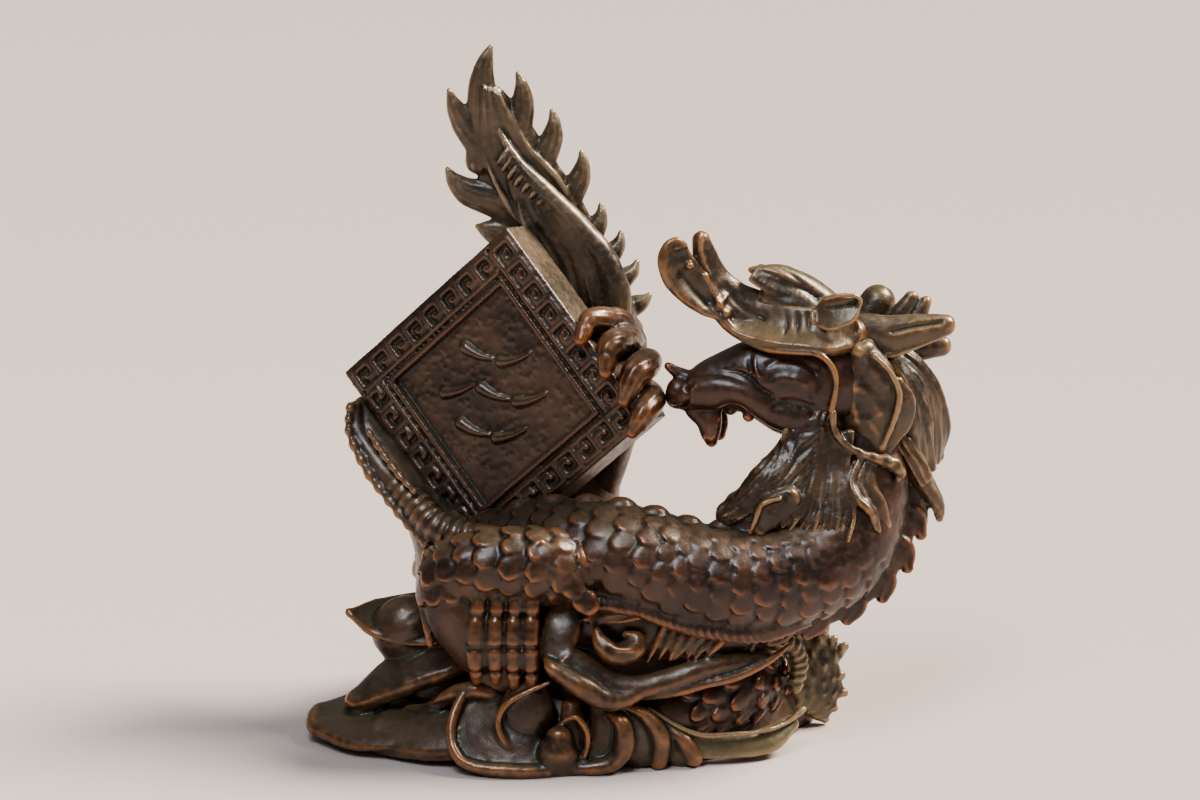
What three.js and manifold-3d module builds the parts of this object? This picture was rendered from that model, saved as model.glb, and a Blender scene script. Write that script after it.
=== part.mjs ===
// A small cast-metal dragon that holds a square tablet, on a base of cloud and wave scrolls.
// Millimetres, +Z up, show side towards -Y, the underside of the base on z = 0. The whole is centred
// over the origin at the end.
import * as THREE from "three";
import Module from "manifold-3d";

const wasm = await Module();
wasm.setup();

// ---------------------------------------------------------------- driving dimensions
const TABLET = {
  side: 29.5,
  thick: 6,
  field: 19.4, // side of the square inside the fret border
  sunk: 0.8, // depth of that field
  middle: [-15.4, 4.4, 41.2],
  yaw: 26, // degrees turned to face the show side's left
  lean: 8, // degrees leaned back
  roll: 46.5, // degrees turned in its own plane, so that it stands on a corner
};
const FRET = { keys: 8, pitch: 3.1, band: 2.7, groove: 0.6, depth: 0.5, margin: 0.9 };
const FIN = { spines: 9, reach: [3.4, 2.3] }; // reach of the top spine and of the lowest
const TRIANGLES = 11000; // what the finished surface is thinned to

const { degToRad, lerp, clamp } = THREE.MathUtils;
const v3 = (x, y, z) => new THREE.Vector3(x, y, z);
const FRONT = v3(0, -1, 0);
const UP = v3(0, 0, 1);

// ---------------------------------------------------------------- solids
/** Closed, indexed faces as a solid, turned to point outwards. */
function solidOf(points, faces) {
  let volume = 0;
  const at = (i) => v3(points[3 * i], points[3 * i + 1], points[3 * i + 2]);
  for (let i = 0; i < faces.length; i += 3) {
    volume += at(faces[i]).dot(at(faces[i + 1]).cross(at(faces[i + 2])));
  }
  const outward = volume > 0 ? faces : faces.slice().reverse();
  return new wasm.Manifold(
    new wasm.Mesh({
      numProp: 3,
      vertProperties: new Float32Array(points),
      triVerts: new Uint32Array(outward),
    }),
  );
}

const join = (solids) => solids.reduce((whole, solid) => whole.add(solid));

/** Rings of points joined one to the next, and closed by a single point at each end. */
function skin(first, rings, last) {
  const sides = rings[0].length;
  const points = [first, ...rings.flat(), last].flatMap((p) => p.toArray());
  const end = 1 + rings.length * sides;
  const faces = [];
  for (let k = 0; k < sides; k++) {
    const next = (k + 1) % sides;
    faces.push(0, 1 + k, 1 + next);
    for (let i = 0; i + 1 < rings.length; i++) {
      const low = 1 + i * sides;
      const high = low + sides;
      faces.push(low + k, high + k, high + next, low + k, high + next, low + next);
    }
    faces.push(end, end - sides + next, end - sides + k);
  }
  return solidOf(points, faces);
}

/**
 * A rounded form drawn out along a smooth curve through its stations, each
 * [x, y, z, half width, half thickness]. The thickness lies towards `facing`; a station without one is
 * as thick as it is wide.
 */
function sweep(stations, facing = FRONT) {
  const line = new THREE.CatmullRomCurve3(stations.map(([x, y, z]) => v3(x, y, z)));
  const sizes = stations.map(([, , , wide, thick = wide]) => v3(wide, thick, 0));
  const size = new THREE.CatmullRomCurve3(sizes);
  const girth = Math.max(...sizes.map(({ x: wide, y: thick }) => (wide + thick) / 2));
  const sides = Math.round(clamp(3.4 + 1.5 * girth, 5, 12));
  const wanted = Math.round(line.getLength() / (1.5 * girth ** 0.7));
  const steps = clamp(wanted, stations.length, 4 * stations.length);
  const ringAt = (t, along, scale) => {
    const tangent = line.getTangent(t);
    const centre = line.getPoint(t).addScaledVector(tangent, along);
    const out = facing.clone().addScaledVector(tangent, -facing.dot(tangent)).normalize();
    const across = tangent.clone().cross(out);
    const { x: wide, y: thick } = size.getPoint(t);
    return Array.from({ length: sides }, (_, k) => {
      const angle = (2 * Math.PI * (k + 0.5)) / sides;
      const ring = centre.clone().addScaledVector(across, wide * scale * Math.cos(angle));
      return ring.addScaledVector(out, thick * scale * Math.sin(angle));
    });
  };
  const cap = (t, way) => {
    const { x: wide, y: thick } = size.getPoint(t);
    const reach = way * Math.min(wide, thick);
    const tip = line.getPoint(t).addScaledVector(line.getTangent(t), reach);
    return { ring: ringAt(t, 0.7 * reach, 0.7), tip };
  };
  const [start, finish] = [cap(0, -1), cap(1, 1)];
  const rings = Array.from({ length: steps + 1 }, (_, i) => ringAt(i / steps, 0, 1));
  return skin(start.tip, [start.ring, ...rings, finish.ring], finish.tip);
}
const sweeps = (lines, facing) => lines.map((stations) => sweep(stations, facing));

/** A three.js geometry, moved by a matrix, as a solid. */
function placed(geometry, matrix) {
  const moved = (geometry.index ? geometry.toNonIndexed() : geometry).applyMatrix4(matrix);
  const { array } = moved.getAttribute("position");
  const points = [];
  const seen = new Map();
  const corners = [];
  for (let i = 0; i < array.length; i += 3) {
    const key = [0, 1, 2].map((k) => Math.round(array[i + k] * 1e4)).join();
    if (!seen.has(key)) {
      seen.set(key, points.length / 3);
      points.push(array[i], array[i + 1], array[i + 2]);
    }
    corners.push(seen.get(key));
  }
  const faces = [];
  for (let i = 0; i < corners.length; i += 3) {
    const face = corners.slice(i, i + 3);
    if (new Set(face).size === 3) faces.push(...face);
  }
  return solidOf(points, faces);
}
const box = (wide, deep, high, matrix) => placed(new THREE.BoxGeometry(wide, deep, high), matrix);
const at = (x, y, z) => new THREE.Matrix4().setPosition(x, y, z);

/** An egg shape: its middle, then its half sizes. */
const egg = ([x, y, z], [a, b, c]) =>
  placed(new THREE.SphereGeometry(1, 7, 5), at(x, y, z).scale(v3(a, b, c)));

/**
 * The same surface with fewer triangles: an edge is drawn together to one of its ends while that end
 * stays close to the planes of the faces it replaces, cheapest first, until `most` are left.
 */
function thinned(vertices, triangles, most) {
  const spots = Array.from({ length: vertices.length / 3 }, (_, i) => v3().fromArray(vertices, 3 * i));
  const faces = [];
  for (let i = 0; i < triangles.length; i += 3) faces.push([...triangles.subarray(i, i + 3)]);
  const around = spots.map(() => new Set());
  const planes = spots.map(() => []);
  const normalOf = (a, b, c) => b.clone().sub(a).cross(c.clone().sub(a));
  faces.forEach((face, i) => {
    const normal = normalOf(...face.map((k) => spots[k]));
    const weight = normal.length();
    normal.divideScalar(weight || 1);
    const plane = new THREE.Plane().setFromNormalAndCoplanarPoint(normal, spots[face[0]]);
    for (const k of face) {
      around[k].add(i);
      planes[k].push([plane, weight]);
    }
  });
  const neighbours = (k) => new Set([...around[k]].flatMap((i) => faces[i]).filter((other) => other !== k));
  const cost = (gone, kept) =>
    planes[gone].reduce((sum, [plane, weight]) => {
      return sum + weight * plane.distanceToPoint(spots[kept]) ** 2;
    }, 0);
  const keepsShape = (gone, kept) =>
    [...around[gone]].every((i) => {
      if (faces[i].includes(kept)) return true;
      const before = normalOf(...faces[i].map((k) => spots[k]));
      const after = normalOf(...faces[i].map((k) => spots[k === gone ? kept : k]));
      return after.length() > 2e-3 && after.dot(before) > 0.3 * after.length() * before.length();
    });
  let left = faces.length;
  while (left > most) {
    const edges = [];
    for (let gone = 0; gone < spots.length; gone++) {
      for (const kept of neighbours(gone)) edges.push([cost(gone, kept), gone, kept]);
    }
    edges.sort(([a], [b]) => a - b);
    const touched = new Set();
    const before = left;
    for (const [, gone, kept] of edges.slice(0, Math.ceil(edges.length / 12))) {
      if (left <= most || touched.has(gone) || touched.has(kept)) continue;
      const ring = neighbours(gone);
      const shared = [...neighbours(kept)].filter((k) => ring.has(k));
      if (shared.length !== 2 || !keepsShape(gone, kept)) continue;
      for (const i of around[gone]) {
        const stays = !faces[i].includes(kept);
        if (stays) around[kept].add(i);
        else faces[i].forEach((k) => k !== gone && around[k].delete(i));
        faces[i] = stays ? faces[i].map((k) => (k === gone ? kept : k)) : null;
        left -= stays ? 0 : 1;
      }
      around[gone].clear();
      planes[kept].push(...planes[gone]);
      ring.forEach((k) => touched.add(k));
    }
    if (left === before) break;
  }
  const numbers = new Map();
  const kept = [];
  const index = faces.filter(Boolean).flat().map((k) => {
    if (!numbers.has(k)) {
      numbers.set(k, numbers.size);
      kept.push(...spots[k].toArray());
    }
    return numbers.get(k);
  });
  return { position: new Float32Array(kept), index };
}

// ---------------------------------------------------------------- the body
// Neck, chest and body in one line: down from the skull, left across the front under the tablet,
// round behind it, and forward again on the right as the coil in the base.
const BODY = [
  [26, -3, 46, 4.4],
  [28, -3.6, 39, 5.0],
  [27.8, -5.5, 31, 5.8],
  [24.3, -8.5, 25, 6.4],
  [17, -11, 22.6, 6.2],
  [8, -11.6, 22.9, 6.0],
  [0, -10.6, 24.8, 6.0],
  [-8, -7, 24.4, 6.0],
  [-16, -1, 21.5, 5.8],
  [-21, 6, 18, 5.6],
  [-18, 13, 14, 5.6],
  [-6, 15.5, 11, 5.8],
  [7, 14.5, 9.5, 6],
  [15, 8.5, 9, 6],
  [15.4, 0, 8.4, 6],
  [12, -8, 7.6, 5.4],
  [5, -11, 5, 4.6],
];
const bodyLine = new THREE.CatmullRomCurve3(BODY.map(([x, y, z]) => v3(x, y, z)));
const bodyRadius = (t) => {
  const place = t * (BODY.length - 1);
  const low = Math.min(Math.floor(place), BODY.length - 2);
  return lerp(BODY[low][3], BODY[low + 1][3], place - low);
};
const BREAST = [
  [22.1, -6, 39.3, 2.6],
  [21.2, -7.2, 35, 3.0],
  [17.9, -8.4, 31.1, 4.1],
  [14.7, -9.2, 27.6, 3.8],
];
const CREST = { from: 0.29, to: 0.66, bumps: 13, half: [2.2, 1.5, 1.9], sunk: 0.7 };
function crestBumps() {
  return Array.from({ length: CREST.bumps }, (_, i) => {
    const t = lerp(CREST.from, CREST.to, i / (CREST.bumps - 1));
    const { x, y, z } = bodyLine.getPoint(t);
    return egg([x, y + 0.8, z + bodyRadius(t) - CREST.sunk], CREST.half);
  });
}
const body = () => [sweep(BODY, UP), sweep(BREAST), ...crestBumps()];

// Spines stand out along the outer side of the neck and the chest, with a web between them.
const FIN_TURNS = [
  [0.1, v3(1, 0.25, -0.1)],
  [0.17, v3(0.92, 0.1, -0.45)],
  [0.25, v3(0.45, 0.1, -0.9)],
  [0.33, v3(0.15, -0.1, -1)],
];
function finPoint(t, height) {
  const after = Math.max(1, FIN_TURNS.findIndex(([place]) => place >= t));
  const [[from, a], [to, b]] = [FIN_TURNS[after - 1], FIN_TURNS[after]];
  const out = a.clone().lerp(b, (t - from) / (to - from)).normalize();
  return bodyLine.getPoint(t).addScaledVector(out, bodyRadius(t) + height);
}
function neckFin() {
  const [[first], [last]] = [FIN_TURNS[0], FIN_TURNS.at(-1)];
  const share = (i, count) => lerp(first, last, i / count);
  const web = Array.from({ length: 7 }, (_, i) => [...finPoint(share(i, 6), -0.4), 2.6, 0.9]);
  const spines = Array.from({ length: FIN.spines }, (_, i) => {
    const t = share(i + 0.3, FIN.spines);
    const reach = lerp(...FIN.reach, i / (FIN.spines - 1));
    const tip = finPoint(t + 0.012, reach);
    return sweep([
      [...finPoint(t, -1.5), 1.7, 1.1],
      [...finPoint(t, reach / 2), 1.5, 1.0],
      [...tip, 0.7, 0.6],
    ]);
  });
  return [sweep(web), ...spines];
}

// A fan of ribs stands out to the right of the coil.
const COIL_FAN = { middle: v3(16.5, -1, 8), reach: v3(10.6, 0, 8.4), ribs: 7, spread: 58 };
function coilFan() {
  const { middle, reach, ribs, spread } = COIL_FAN;
  return Array.from({ length: ribs }, (_, i) => {
    const angle = degToRad(lerp(spread, -spread, i / (ribs - 1)));
    const way = v3(Math.cos(angle), 0, Math.sin(angle)).multiply(reach);
    const along = (share, wide, thick) => [...middle.clone().addScaledVector(way, share), wide, thick];
    const long = i % 2 ? 0.93 : 1;
    return sweep([along(0.4, 1.8, 2.2), along(0.75, 2.2, 1.4), along(long, 0.9, 0.8)]);
  });
}

// ---------------------------------------------------------------- the tail
const TAIL = [
  [-5, 11, 3, 5],
  [-6, 11, 16, 4.8],
  [-5.4, 11, 28, 4.5],
  [-2.6, 11, 38, 4.3],
  [-2.4, 11.4, 46, 4.2],
  [-4.8, 12, 53, 4.2],
  [-8.8, 13, 59.6, 3.6],
  [-12.6, 13.4, 65.6, 2.5],
  [-15, 13.6, 70.6, 1.4],
  [-16.6, 13.6, 75, 0.7],
];
const FLAME_Y = 14.2;
const FLAME_LEAF = [
  [-5, FLAME_Y, 54, 3.6, 1.3],
  [-10.8, FLAME_Y, 61.5, 5.4, 1.4],
  [-13.8, FLAME_Y, 67, 4.9, 1.4],
  [-15.6, FLAME_Y, 72, 3.7, 1.3],
  [-17.2, FLAME_Y, 76.5, 2.0, 1.2],
];
// Each tongue: root x and z, tip x and z, half width at the root, and how far its middle bows right.
const TONGUES = [
  [-17.8, 73, -16.9, 82.7, 2.2, -0.7],
  [-17.2, 69.5, -22.1, 77.3, 2.2, -0.6],
  [-16.4, 63.5, -22.4, 67.4, 2.3, -1.0],
  [-14.4, 58.6, -18.8, 60.2, 2.2, 0],
  [-13.9, 72, -13.6, 79.4, 1.9, 0.7],
  [-10.9, 68, -9.4, 74.7, 1.8, 0.7],
  [-7.6, 63.4, -5.8, 69.6, 1.8, 0.7],
  [-4.6, 59, -3.4, 62.9, 1.5, 0.4],
  [-2.2, 56.4, -0.9, 59.4, 1.3, 0.3],
  [-0.6, 53.4, 1.1, 55.7, 1.3, 0.3],
  [0.4, 49.8, 2.7, 51.4, 1.4, 0.2],
];
function tongue([rootX, rootZ, tipX, tipZ, wide, bow]) {
  const along = v3(tipX - rootX, 0, tipZ - rootZ);
  const aside = v3(along.z, 0, -along.x).normalize();
  const station = (share, sideways, ...size) => {
    const root = v3(rootX, FLAME_Y, rootZ).addScaledVector(along, share);
    return [...root.addScaledVector(aside, sideways), ...size];
  };
  return sweep([
    station(0, 0, wide, 1.5),
    station(0.5, bow, wide * 0.8, 1.2),
    station(0.82, bow * 0.7, wide * 0.45, 0.8),
    station(1, 0, 0.35, 0.35),
  ]);
}
const tail = () => [sweep(TAIL), sweep(FLAME_LEAF), ...TONGUES.map(tongue)];

// ---------------------------------------------------------------- the tablet
function tabletPlace() {
  const turn = new THREE.Matrix4().makeRotationZ(degToRad(-TABLET.yaw));
  turn.multiply(new THREE.Matrix4().makeRotationX(degToRad(-TABLET.lean)));
  turn.multiply(new THREE.Matrix4().makeRotationY(degToRad(TABLET.roll)));
  return turn.setPosition(...TABLET.middle);
}
/** A spot in the tablet's own square, its face towards -Y, after some quarter turns about its middle. */
const onTablet = (x, y, z, turns = 0) =>
  tabletPlace().multiply(new THREE.Matrix4().makeRotationY((turns * Math.PI) / 2)).multiply(at(x, y, z));

/** The outline of a stroke of even width along a path that turns at right angles. */
function strokeOutline(path, half) {
  const turn = (i) => {
    const into = path[i].clone().sub(path[Math.max(i - 1, 0)]).normalize();
    const away = path[Math.min(i + 1, path.length - 1)].clone().sub(path[i]).normalize();
    const aside = into.clone().add(away);
    return new THREE.Vector2(-aside.y, aside.x).multiplyScalar(half);
  };
  const edge = (side) => path.map((point, i) => point.clone().addScaledVector(turn(i), side));
  return new THREE.Shape([...edge(1), ...edge(-1).reverse()]);
}

/** One key of the border: a groove that hooks round on itself. */
function keyGroove() {
  const { pitch, band, groove, depth } = FRET;
  const [left, right] = [-0.42 * pitch, 0.36 * pitch];
  const [low, high] = [(groove - band) / 2, (band - groove) / 2];
  const path = [[left, low], [left, high], [right, high], [right, low], [0, low], [0, 0.15 * band]];
  const outline = strokeOutline(path.map(([x, z]) => new THREE.Vector2(x, z)), groove / 2);
  const cutter = new THREE.ExtrudeGeometry(outline, { depth: 2 * depth, bevelEnabled: false });
  return cutter.rotateX(Math.PI / 2).translate(0, depth, 0);
}

// Raised brush-like marks, which are no letters, in upright rows on the sunk field.
const MARKS = { rows: [2, 3, 2], across: 5.2, down: 4.9, half: 1.9, wide: 0.85 };
function marks() {
  const upright = onTablet(0, 0, 0).multiply(new THREE.Matrix4().makeRotationY(degToRad(-TABLET.roll)));
  return MARKS.rows.flatMap((columns, row) =>
    Array.from({ length: columns }, (_, column) => {
      const x = (column - (columns - 1) / 2) * MARKS.across;
      const z = (1 - row) * MARKS.down;
      const [slope, bend] = [(row + column) % 2 ? 0.9 : -0.35, column % 2 ? 0.9 : -0.7];
      return sweep(
        [-1, 0, 1].map((s) => {
          const rise = z + slope * s + bend * s * s;
          const place = v3(x + s * MARKS.half, TABLET.sunk - TABLET.thick / 2, rise);
          return [...place.applyMatrix4(upright), MARKS.wide * (1 - 0.3 * s), 0.7];
        }),
      );
    }),
  );
}

function tablet() {
  const { side, thick, field, sunk } = TABLET;
  const face = -thick / 2;
  const frame = box(field + 1.7, 2 * 0.35, field + 1.7, onTablet(0, face, 0));
  let slab = box(side, thick, side, onTablet(0, 0, 0)).add(frame);
  slab = slab.subtract(box(field, 2 * sunk, field, onTablet(0, face, 0)));
  const row = (side - FRET.band) / 2 - FRET.margin;
  for (let turns = 0; turns < 4; turns++) {
    for (let key = 0; key < FRET.keys; key++) {
      const along = (key - FRET.keys / 2) * FRET.pitch;
      slab = slab.subtract(placed(keyGroove(), onTablet(along, face, row, turns)));
    }
  }
  return [slab, ...marks()];
}

// ---------------------------------------------------------------- the head
const SKULL = [
  [28, -3, 44, 5.0, 4.6],
  [24.5, -3.8, 45, 5.8, 5.6],
  [20, -4.2, 45.4, 5.4, 5.2],
  [15, -4.4, 45.6, 4.6, 4.0],
  [11, -4.4, 44.9, 3.5, 3.1],
  [7.6, -4.4, 43.4, 2.9, 2.6],
  [5.4, -4.4, 43.4, 1.8, 1.9],
];
const JAWS = [
  [[9, -5.4, 41.6, 2.0, 1.5], [10, -6.2, 40, 1.8, 1.4], [9.8, -6.4, 38.2, 1.1, 1.1]], // near fang
  [[9.6, -2.8, 41.6, 1.8, 1.3], [10.8, -2.4, 39.6, 1.4, 1.1], [11, -2.4, 38, 0.8, 0.8]], // far fang
  [[6.6, -4.4, 45.2, 1.0, 1.6], [4.7, -4.4, 46.4, 0.75, 1.2]], // knob on the nose
  [[22, -4.2, 39.6, 2.2, 3.4], [18, -4.2, 40.6, 1.8, 2.8], [15.6, -4.2, 41.2, 0.9, 1.8]], // lower jaw
  [[13.8, -7, 42.2, 0.8], [14, -7, 41.6, 0.5]], // teeth
  [[16.4, -7.8, 41.6, 0.9], [16.4, -7.8, 41, 0.6]],
];
// The upper lip is a rolled band: from the nose over the fang, then back and down across the cheek.
const LIP = [
  [5.4, -5.8, 43, 0.9],
  [7.2, -6.8, 44.6, 0.9],
  [9.6, -7.6, 45.9, 0.95],
  [12.4, -8.2, 45.9, 1.0],
  [15.2, -8.8, 44.4, 1.0],
  [18.4, -9.4, 42.8, 0.9],
  [21.6, -9.6, 42.2, 0.7],
];
const EYE = { middle: [18.6, -9.1, 45.9], half: [2.3, 0.9, 1.3] };
// The brow is a sheet that rises forward to two lobes; its rim runs on round the cheek.
const BROW = [
  [
    [26, -5.2, 50.2, 3.4, 3], [20, -6, 50.2, 3.6, 2.6], [15, -5.2, 52.4, 3, 1.8],
    [11.8, -4.2, 54.9, 2.6, 1.2],
  ],
  [
    [12.8, -4.2, 54.4, 2.2, 1.0], [8.9, -4.2, 57, 2.2, 0.9], [6.3, -4.2, 59.7, 2, 0.8],
    [5.6, -4, 61.6, 1.3, 0.7],
  ],
  [
    [13, -3.8, 54.2, 2, 1.2], [9.4, -3.2, 57.8, 2, 1.2], [8.7, -2.8, 61, 1.7, 1.1],
    [8.6, -2.8, 62.3, 1.1, 0.9],
  ],
];
const RIM = [
  [4.2, -4.6, 60, 0.5],
  [5.2, -5, 56.6, 0.6],
  [7.8, -5.4, 54.6, 0.6],
  [11, -6, 53.1, 0.6],
  [13.8, -6.8, 50.9, 0.65],
  [18.4, -9, 47.2, 0.65],
  [22.2, -9.8, 47.2, 0.65],
  [24.8, -9.8, 45.2, 0.65],
  [25.3, -9.6, 41.4, 0.6],
  [24.2, -9.2, 38.8, 0.6],
];
const head = () => [
  sweep(SKULL),
  ...sweeps(JAWS),
  sweep(LIP),
  egg(EYE.middle, EYE.half),
  ...sweeps(BROW),
  sweep(RIM),
];

const CROWN = [
  // tuft
  [
    [23.8, -2, 52.6, 2.4, 2.6], [21, -2, 55.4, 2.3, 2.2], [17.8, -2, 57.5, 1.6, 1.7],
    [15, -2, 58.1, 0.6, 0.7],
  ],
  [[22, -2.6, 53, 2.8, 3], [17.4, -3, 54.2, 1.9, 2.2]],
  [[23.6, -7, 50.6, 1.6, 0.9], [25.2, -7.4, 52.8, 2.1, 0.9], [26.8, -7.4, 54.8, 0.9, 0.6]], // ear
  [[28, 0.5, 50, 2.6], [30.3, 1, 53.6, 2.1]], // knob behind the ear
  [
    [26, -4.5, 50.4, 2.3, 2], [31, -4.7, 50.8, 2.0, 1.7], [35.4, -4.5, 51.4, 1.8, 1.4],
    [38, -4.2, 51.2, 1.3, 1.1],
  ],
  [[32, -2, 51.6, 1.6, 1.2], [34.2, -1.6, 54.2, 0.9]], // tines of the antler
  [[34, -2.4, 51.6, 1.5, 1.2], [36, -1.6, 54, 0.8]],
  [[28, 1, 48.6, 2.4], [34, 1.8, 47.6, 1.7], [38.4, 2, 47.8, 1.3, 1.2]], // far antler
];
const CHEEK = [
  [
    [27.6, -7, 49.6, 1.8, 1.4], [29.6, -7.6, 46, 3.1, 1.2], [30.2, -7.8, 42.6, 3.5, 1.1],
    [29.8, -8, 39, 2.5, 1], [29.6, -8, 36.6, 1, 0.7],
  ],
  [
    [29.6, -8.2, 49.4, 0.5], [32.6, -8.6, 46.6, 0.6], [33.6, -8.6, 43.4, 0.6],
    [32.6, -8.6, 39.8, 0.6], [30.4, -8.6, 36.6, 0.5],
  ],
  [
    [24.8, -9.3, 40.2, 0.9], [26, -9.7, 37.6, 1.1], [29.2, -9.7, 36.2, 1.1],
    [31.8, -9.4, 35.4, 1.1], [32.9, -9, 33.8, 0.7],
  ],
];
const MANE = [
  [
    [30.5, -1, 48.5, 2.2, 2], [34.9, -0.5, 45.4, 1.9, 1.8], [36.9, 0.5, 40.5, 1.5, 1.4],
    [38.2, 1, 33.8, 0.5],
  ],
  [
    [31, -3.5, 46, 2, 1.8], [34.6, -3.8, 42, 1.8, 1.6], [36, -3.6, 37.6, 1.4, 1.2],
    [36.6, -3, 33.4, 0.6],
  ],
  [[31, -5, 41, 2, 1.6], [33.4, -5.4, 37, 1.6, 1.4], [36, -4.6, 32.6, 1.4, 1.2], [38, -3, 26.8, 0.6]],
  [[29.5, 1, 45, 2.6, 2.4], [34, 3.4, 41, 2.2], [36.2, 4, 35, 1.7], [36.6, 4, 29.6, 0.6]],
  [[28, 2, 47, 2.6, 2.2], [31, 4.6, 42, 2.4, 2.2], [32.4, 6, 35, 2, 1.8], [32.4, 6.2, 29, 0.6]],
  [[27, 2, 41, 2.6, 2.2], [28.4, 4, 36, 2.2, 2], [28.6, 4.4, 30, 1.8, 1.6], [27.8, 4.6, 25, 0.6]],
  [[31, -3, 37, 2.6, 2.2], [34, -2.8, 32, 2.6, 1.6], [35.2, -2.8, 28, 1.8, 1.0]],
];
const BEARD = [
  [
    [22, -8, 40, 1.6, 1.4], [22, -10.2, 35, 1.3, 1.2], [20.4, -12.6, 30.4, 1.3, 1],
    [16.6, -14.6, 27, 0.5],
  ],
  [
    [24.6, -8.4, 39.4, 1.5, 1.3], [24.8, -10.8, 34.6, 1.3, 1.1], [23.2, -13.2, 29.8, 1.2, 1],
    [19.4, -15.2, 26, 0.5],
  ],
  [
    [27.6, -9, 37.4, 1.3, 1.1], [26.8, -11, 33.4, 1.2, 1], [28, -11.8, 30, 1.1, 0.9],
    [29.6, -11.6, 27, 0.5],
  ],
];
const trimmings = () => [...sweeps(CROWN), ...sweeps(CHEEK), ...sweeps(MANE), ...sweeps(BEARD)];

// ---------------------------------------------------------------- the legs
const FORELEG = [
  [-4, -10.5, 23.5, 4.6],
  [-10, -12.4, 24.4, 4.4],
  [-17, -12, 24.4, 4.1],
  [-21.4, -11, 22.2, 3.8],
  [-20.6, -12, 18.4, 3.9, 3.6],
  [-17, -13.4, 15, 4.6, 3],
];
const TOES = { first: [-19.4, -15.6], step: 2.75, count: 4, top: 18.6, foot: 8.8 };
function toes() {
  const { first, step, count, top, foot } = TOES;
  return Array.from({ length: count }, (_, i) => {
    const x = first[0] + i * step;
    const y = first[1] - 0.6 * Math.sin((Math.PI * (i + 0.5)) / count);
    return sweep([
      [x, y + 1.2, top, 1.3],
      [x, y - 0.4, lerp(top, foot, 0.3), 1.5],
      [x, y - 0.6, lerp(top, foot, 0.65), 1.35],
      [x - 0.3, y - 0.6, foot, 0.8],
    ]);
  });
}
const FORELEG_TRIM = [
  // shoulder plate
  [
    [-11.6, -15.6, 27.4, 0.7], [-8.8, -17, 25.4, 0.8], [-8, -16.8, 22.6, 0.8],
    [-8.8, -15.6, 20.2, 0.6],
  ],
  [[-24.4, -10, 25, 0.6, 1.5], [-25, -10, 20, 0.7, 1.4], [-24, -11, 14, 0.5, 0.8]], // hair at the elbow
];
// The hind leg comes up behind the tablet, and its claws close over the tablet's right-hand corner.
const HIND_LEG = [
  [-5, 11, 26, 3.4],
  [-2.6, 9, 34, 3.4],
  [-0.4, 6.6, 41, 2.8],
  [0, 5, 47.6, 2.3],
];
const CLAWS = [
  [[0.4, 5, 49.4, 1.6], [-2, 1, 51.4, 1.7], [-4.9, -2, 51.9, 1.5], [-5.8, -4, 50.2, 0.9]],
  [[0.8, 4, 48, 1.5], [-0.6, -1, 49.6, 1.7], [-2.4, -5.2, 49.2, 1.7], [-2.8, -6.6, 46.8, 0.9]],
  [
    [0.6, 5, 45, 1.6], [2.4, 1, 46.2, 1.6], [2, -4, 47.2, 1.9], [0.5, -7.2, 46.4, 1.9],
    [-0.6, -7.8, 43.6, 0.9],
  ],
  [
    [0.4, 5, 42.4, 1.6], [2.6, 0, 42.6, 1.5], [2.7, -5, 43, 1.8], [1.6, -8.2, 42, 1.7],
    [0.4, -8.4, 39.8, 0.8],
  ],
  [[1.6, 3, 41.6, 1.6], [0.4, -0.5, 39, 1.3], [-1, -2.6, 37, 0.7]],
];
const legs = () => [
  sweep(FORELEG),
  ...toes(),
  ...sweeps(FORELEG_TRIM),
  sweep(HIND_LEG),
  ...sweeps(CLAWS),
];

// ---------------------------------------------------------------- the cradle
// A wave lip that rises behind the foreleg and hugs the tablet's lower left-hand edge.
const CRADLE = [
  [
    [-33, 11.6, 37.6, 1.4, 2.4], [-32.2, 10.6, 35, 2.5, 3.4], [-29.4, 8.6, 31.4, 2.9, 4.4],
    [-26, 5.6, 27.4, 2.8, 5], [-21, 1, 23.6, 3, 5], [-15, -1, 22.4, 2.4, 4],
  ],
  [
    [-34, 9.3, 38.2, 0.8], [-33.8, 8.2, 35.8, 1.2], [-31.8, 6.2, 32.8, 1.3], [-29, 3.8, 30, 1.6],
    [-26, 0.8, 27.8, 2], [-23.4, -2.2, 26, 2.1], [-19.6, -4.2, 25.4, 1.9], [-15, -5, 26, 1.4],
  ],
  [[-27.6, 7, 29, 2, 4], [-24, 4, 22, 2.6, 5], [-22.6, 1, 12, 4, 6]],
];
const cradle = () => sweeps(CRADLE);

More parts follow.
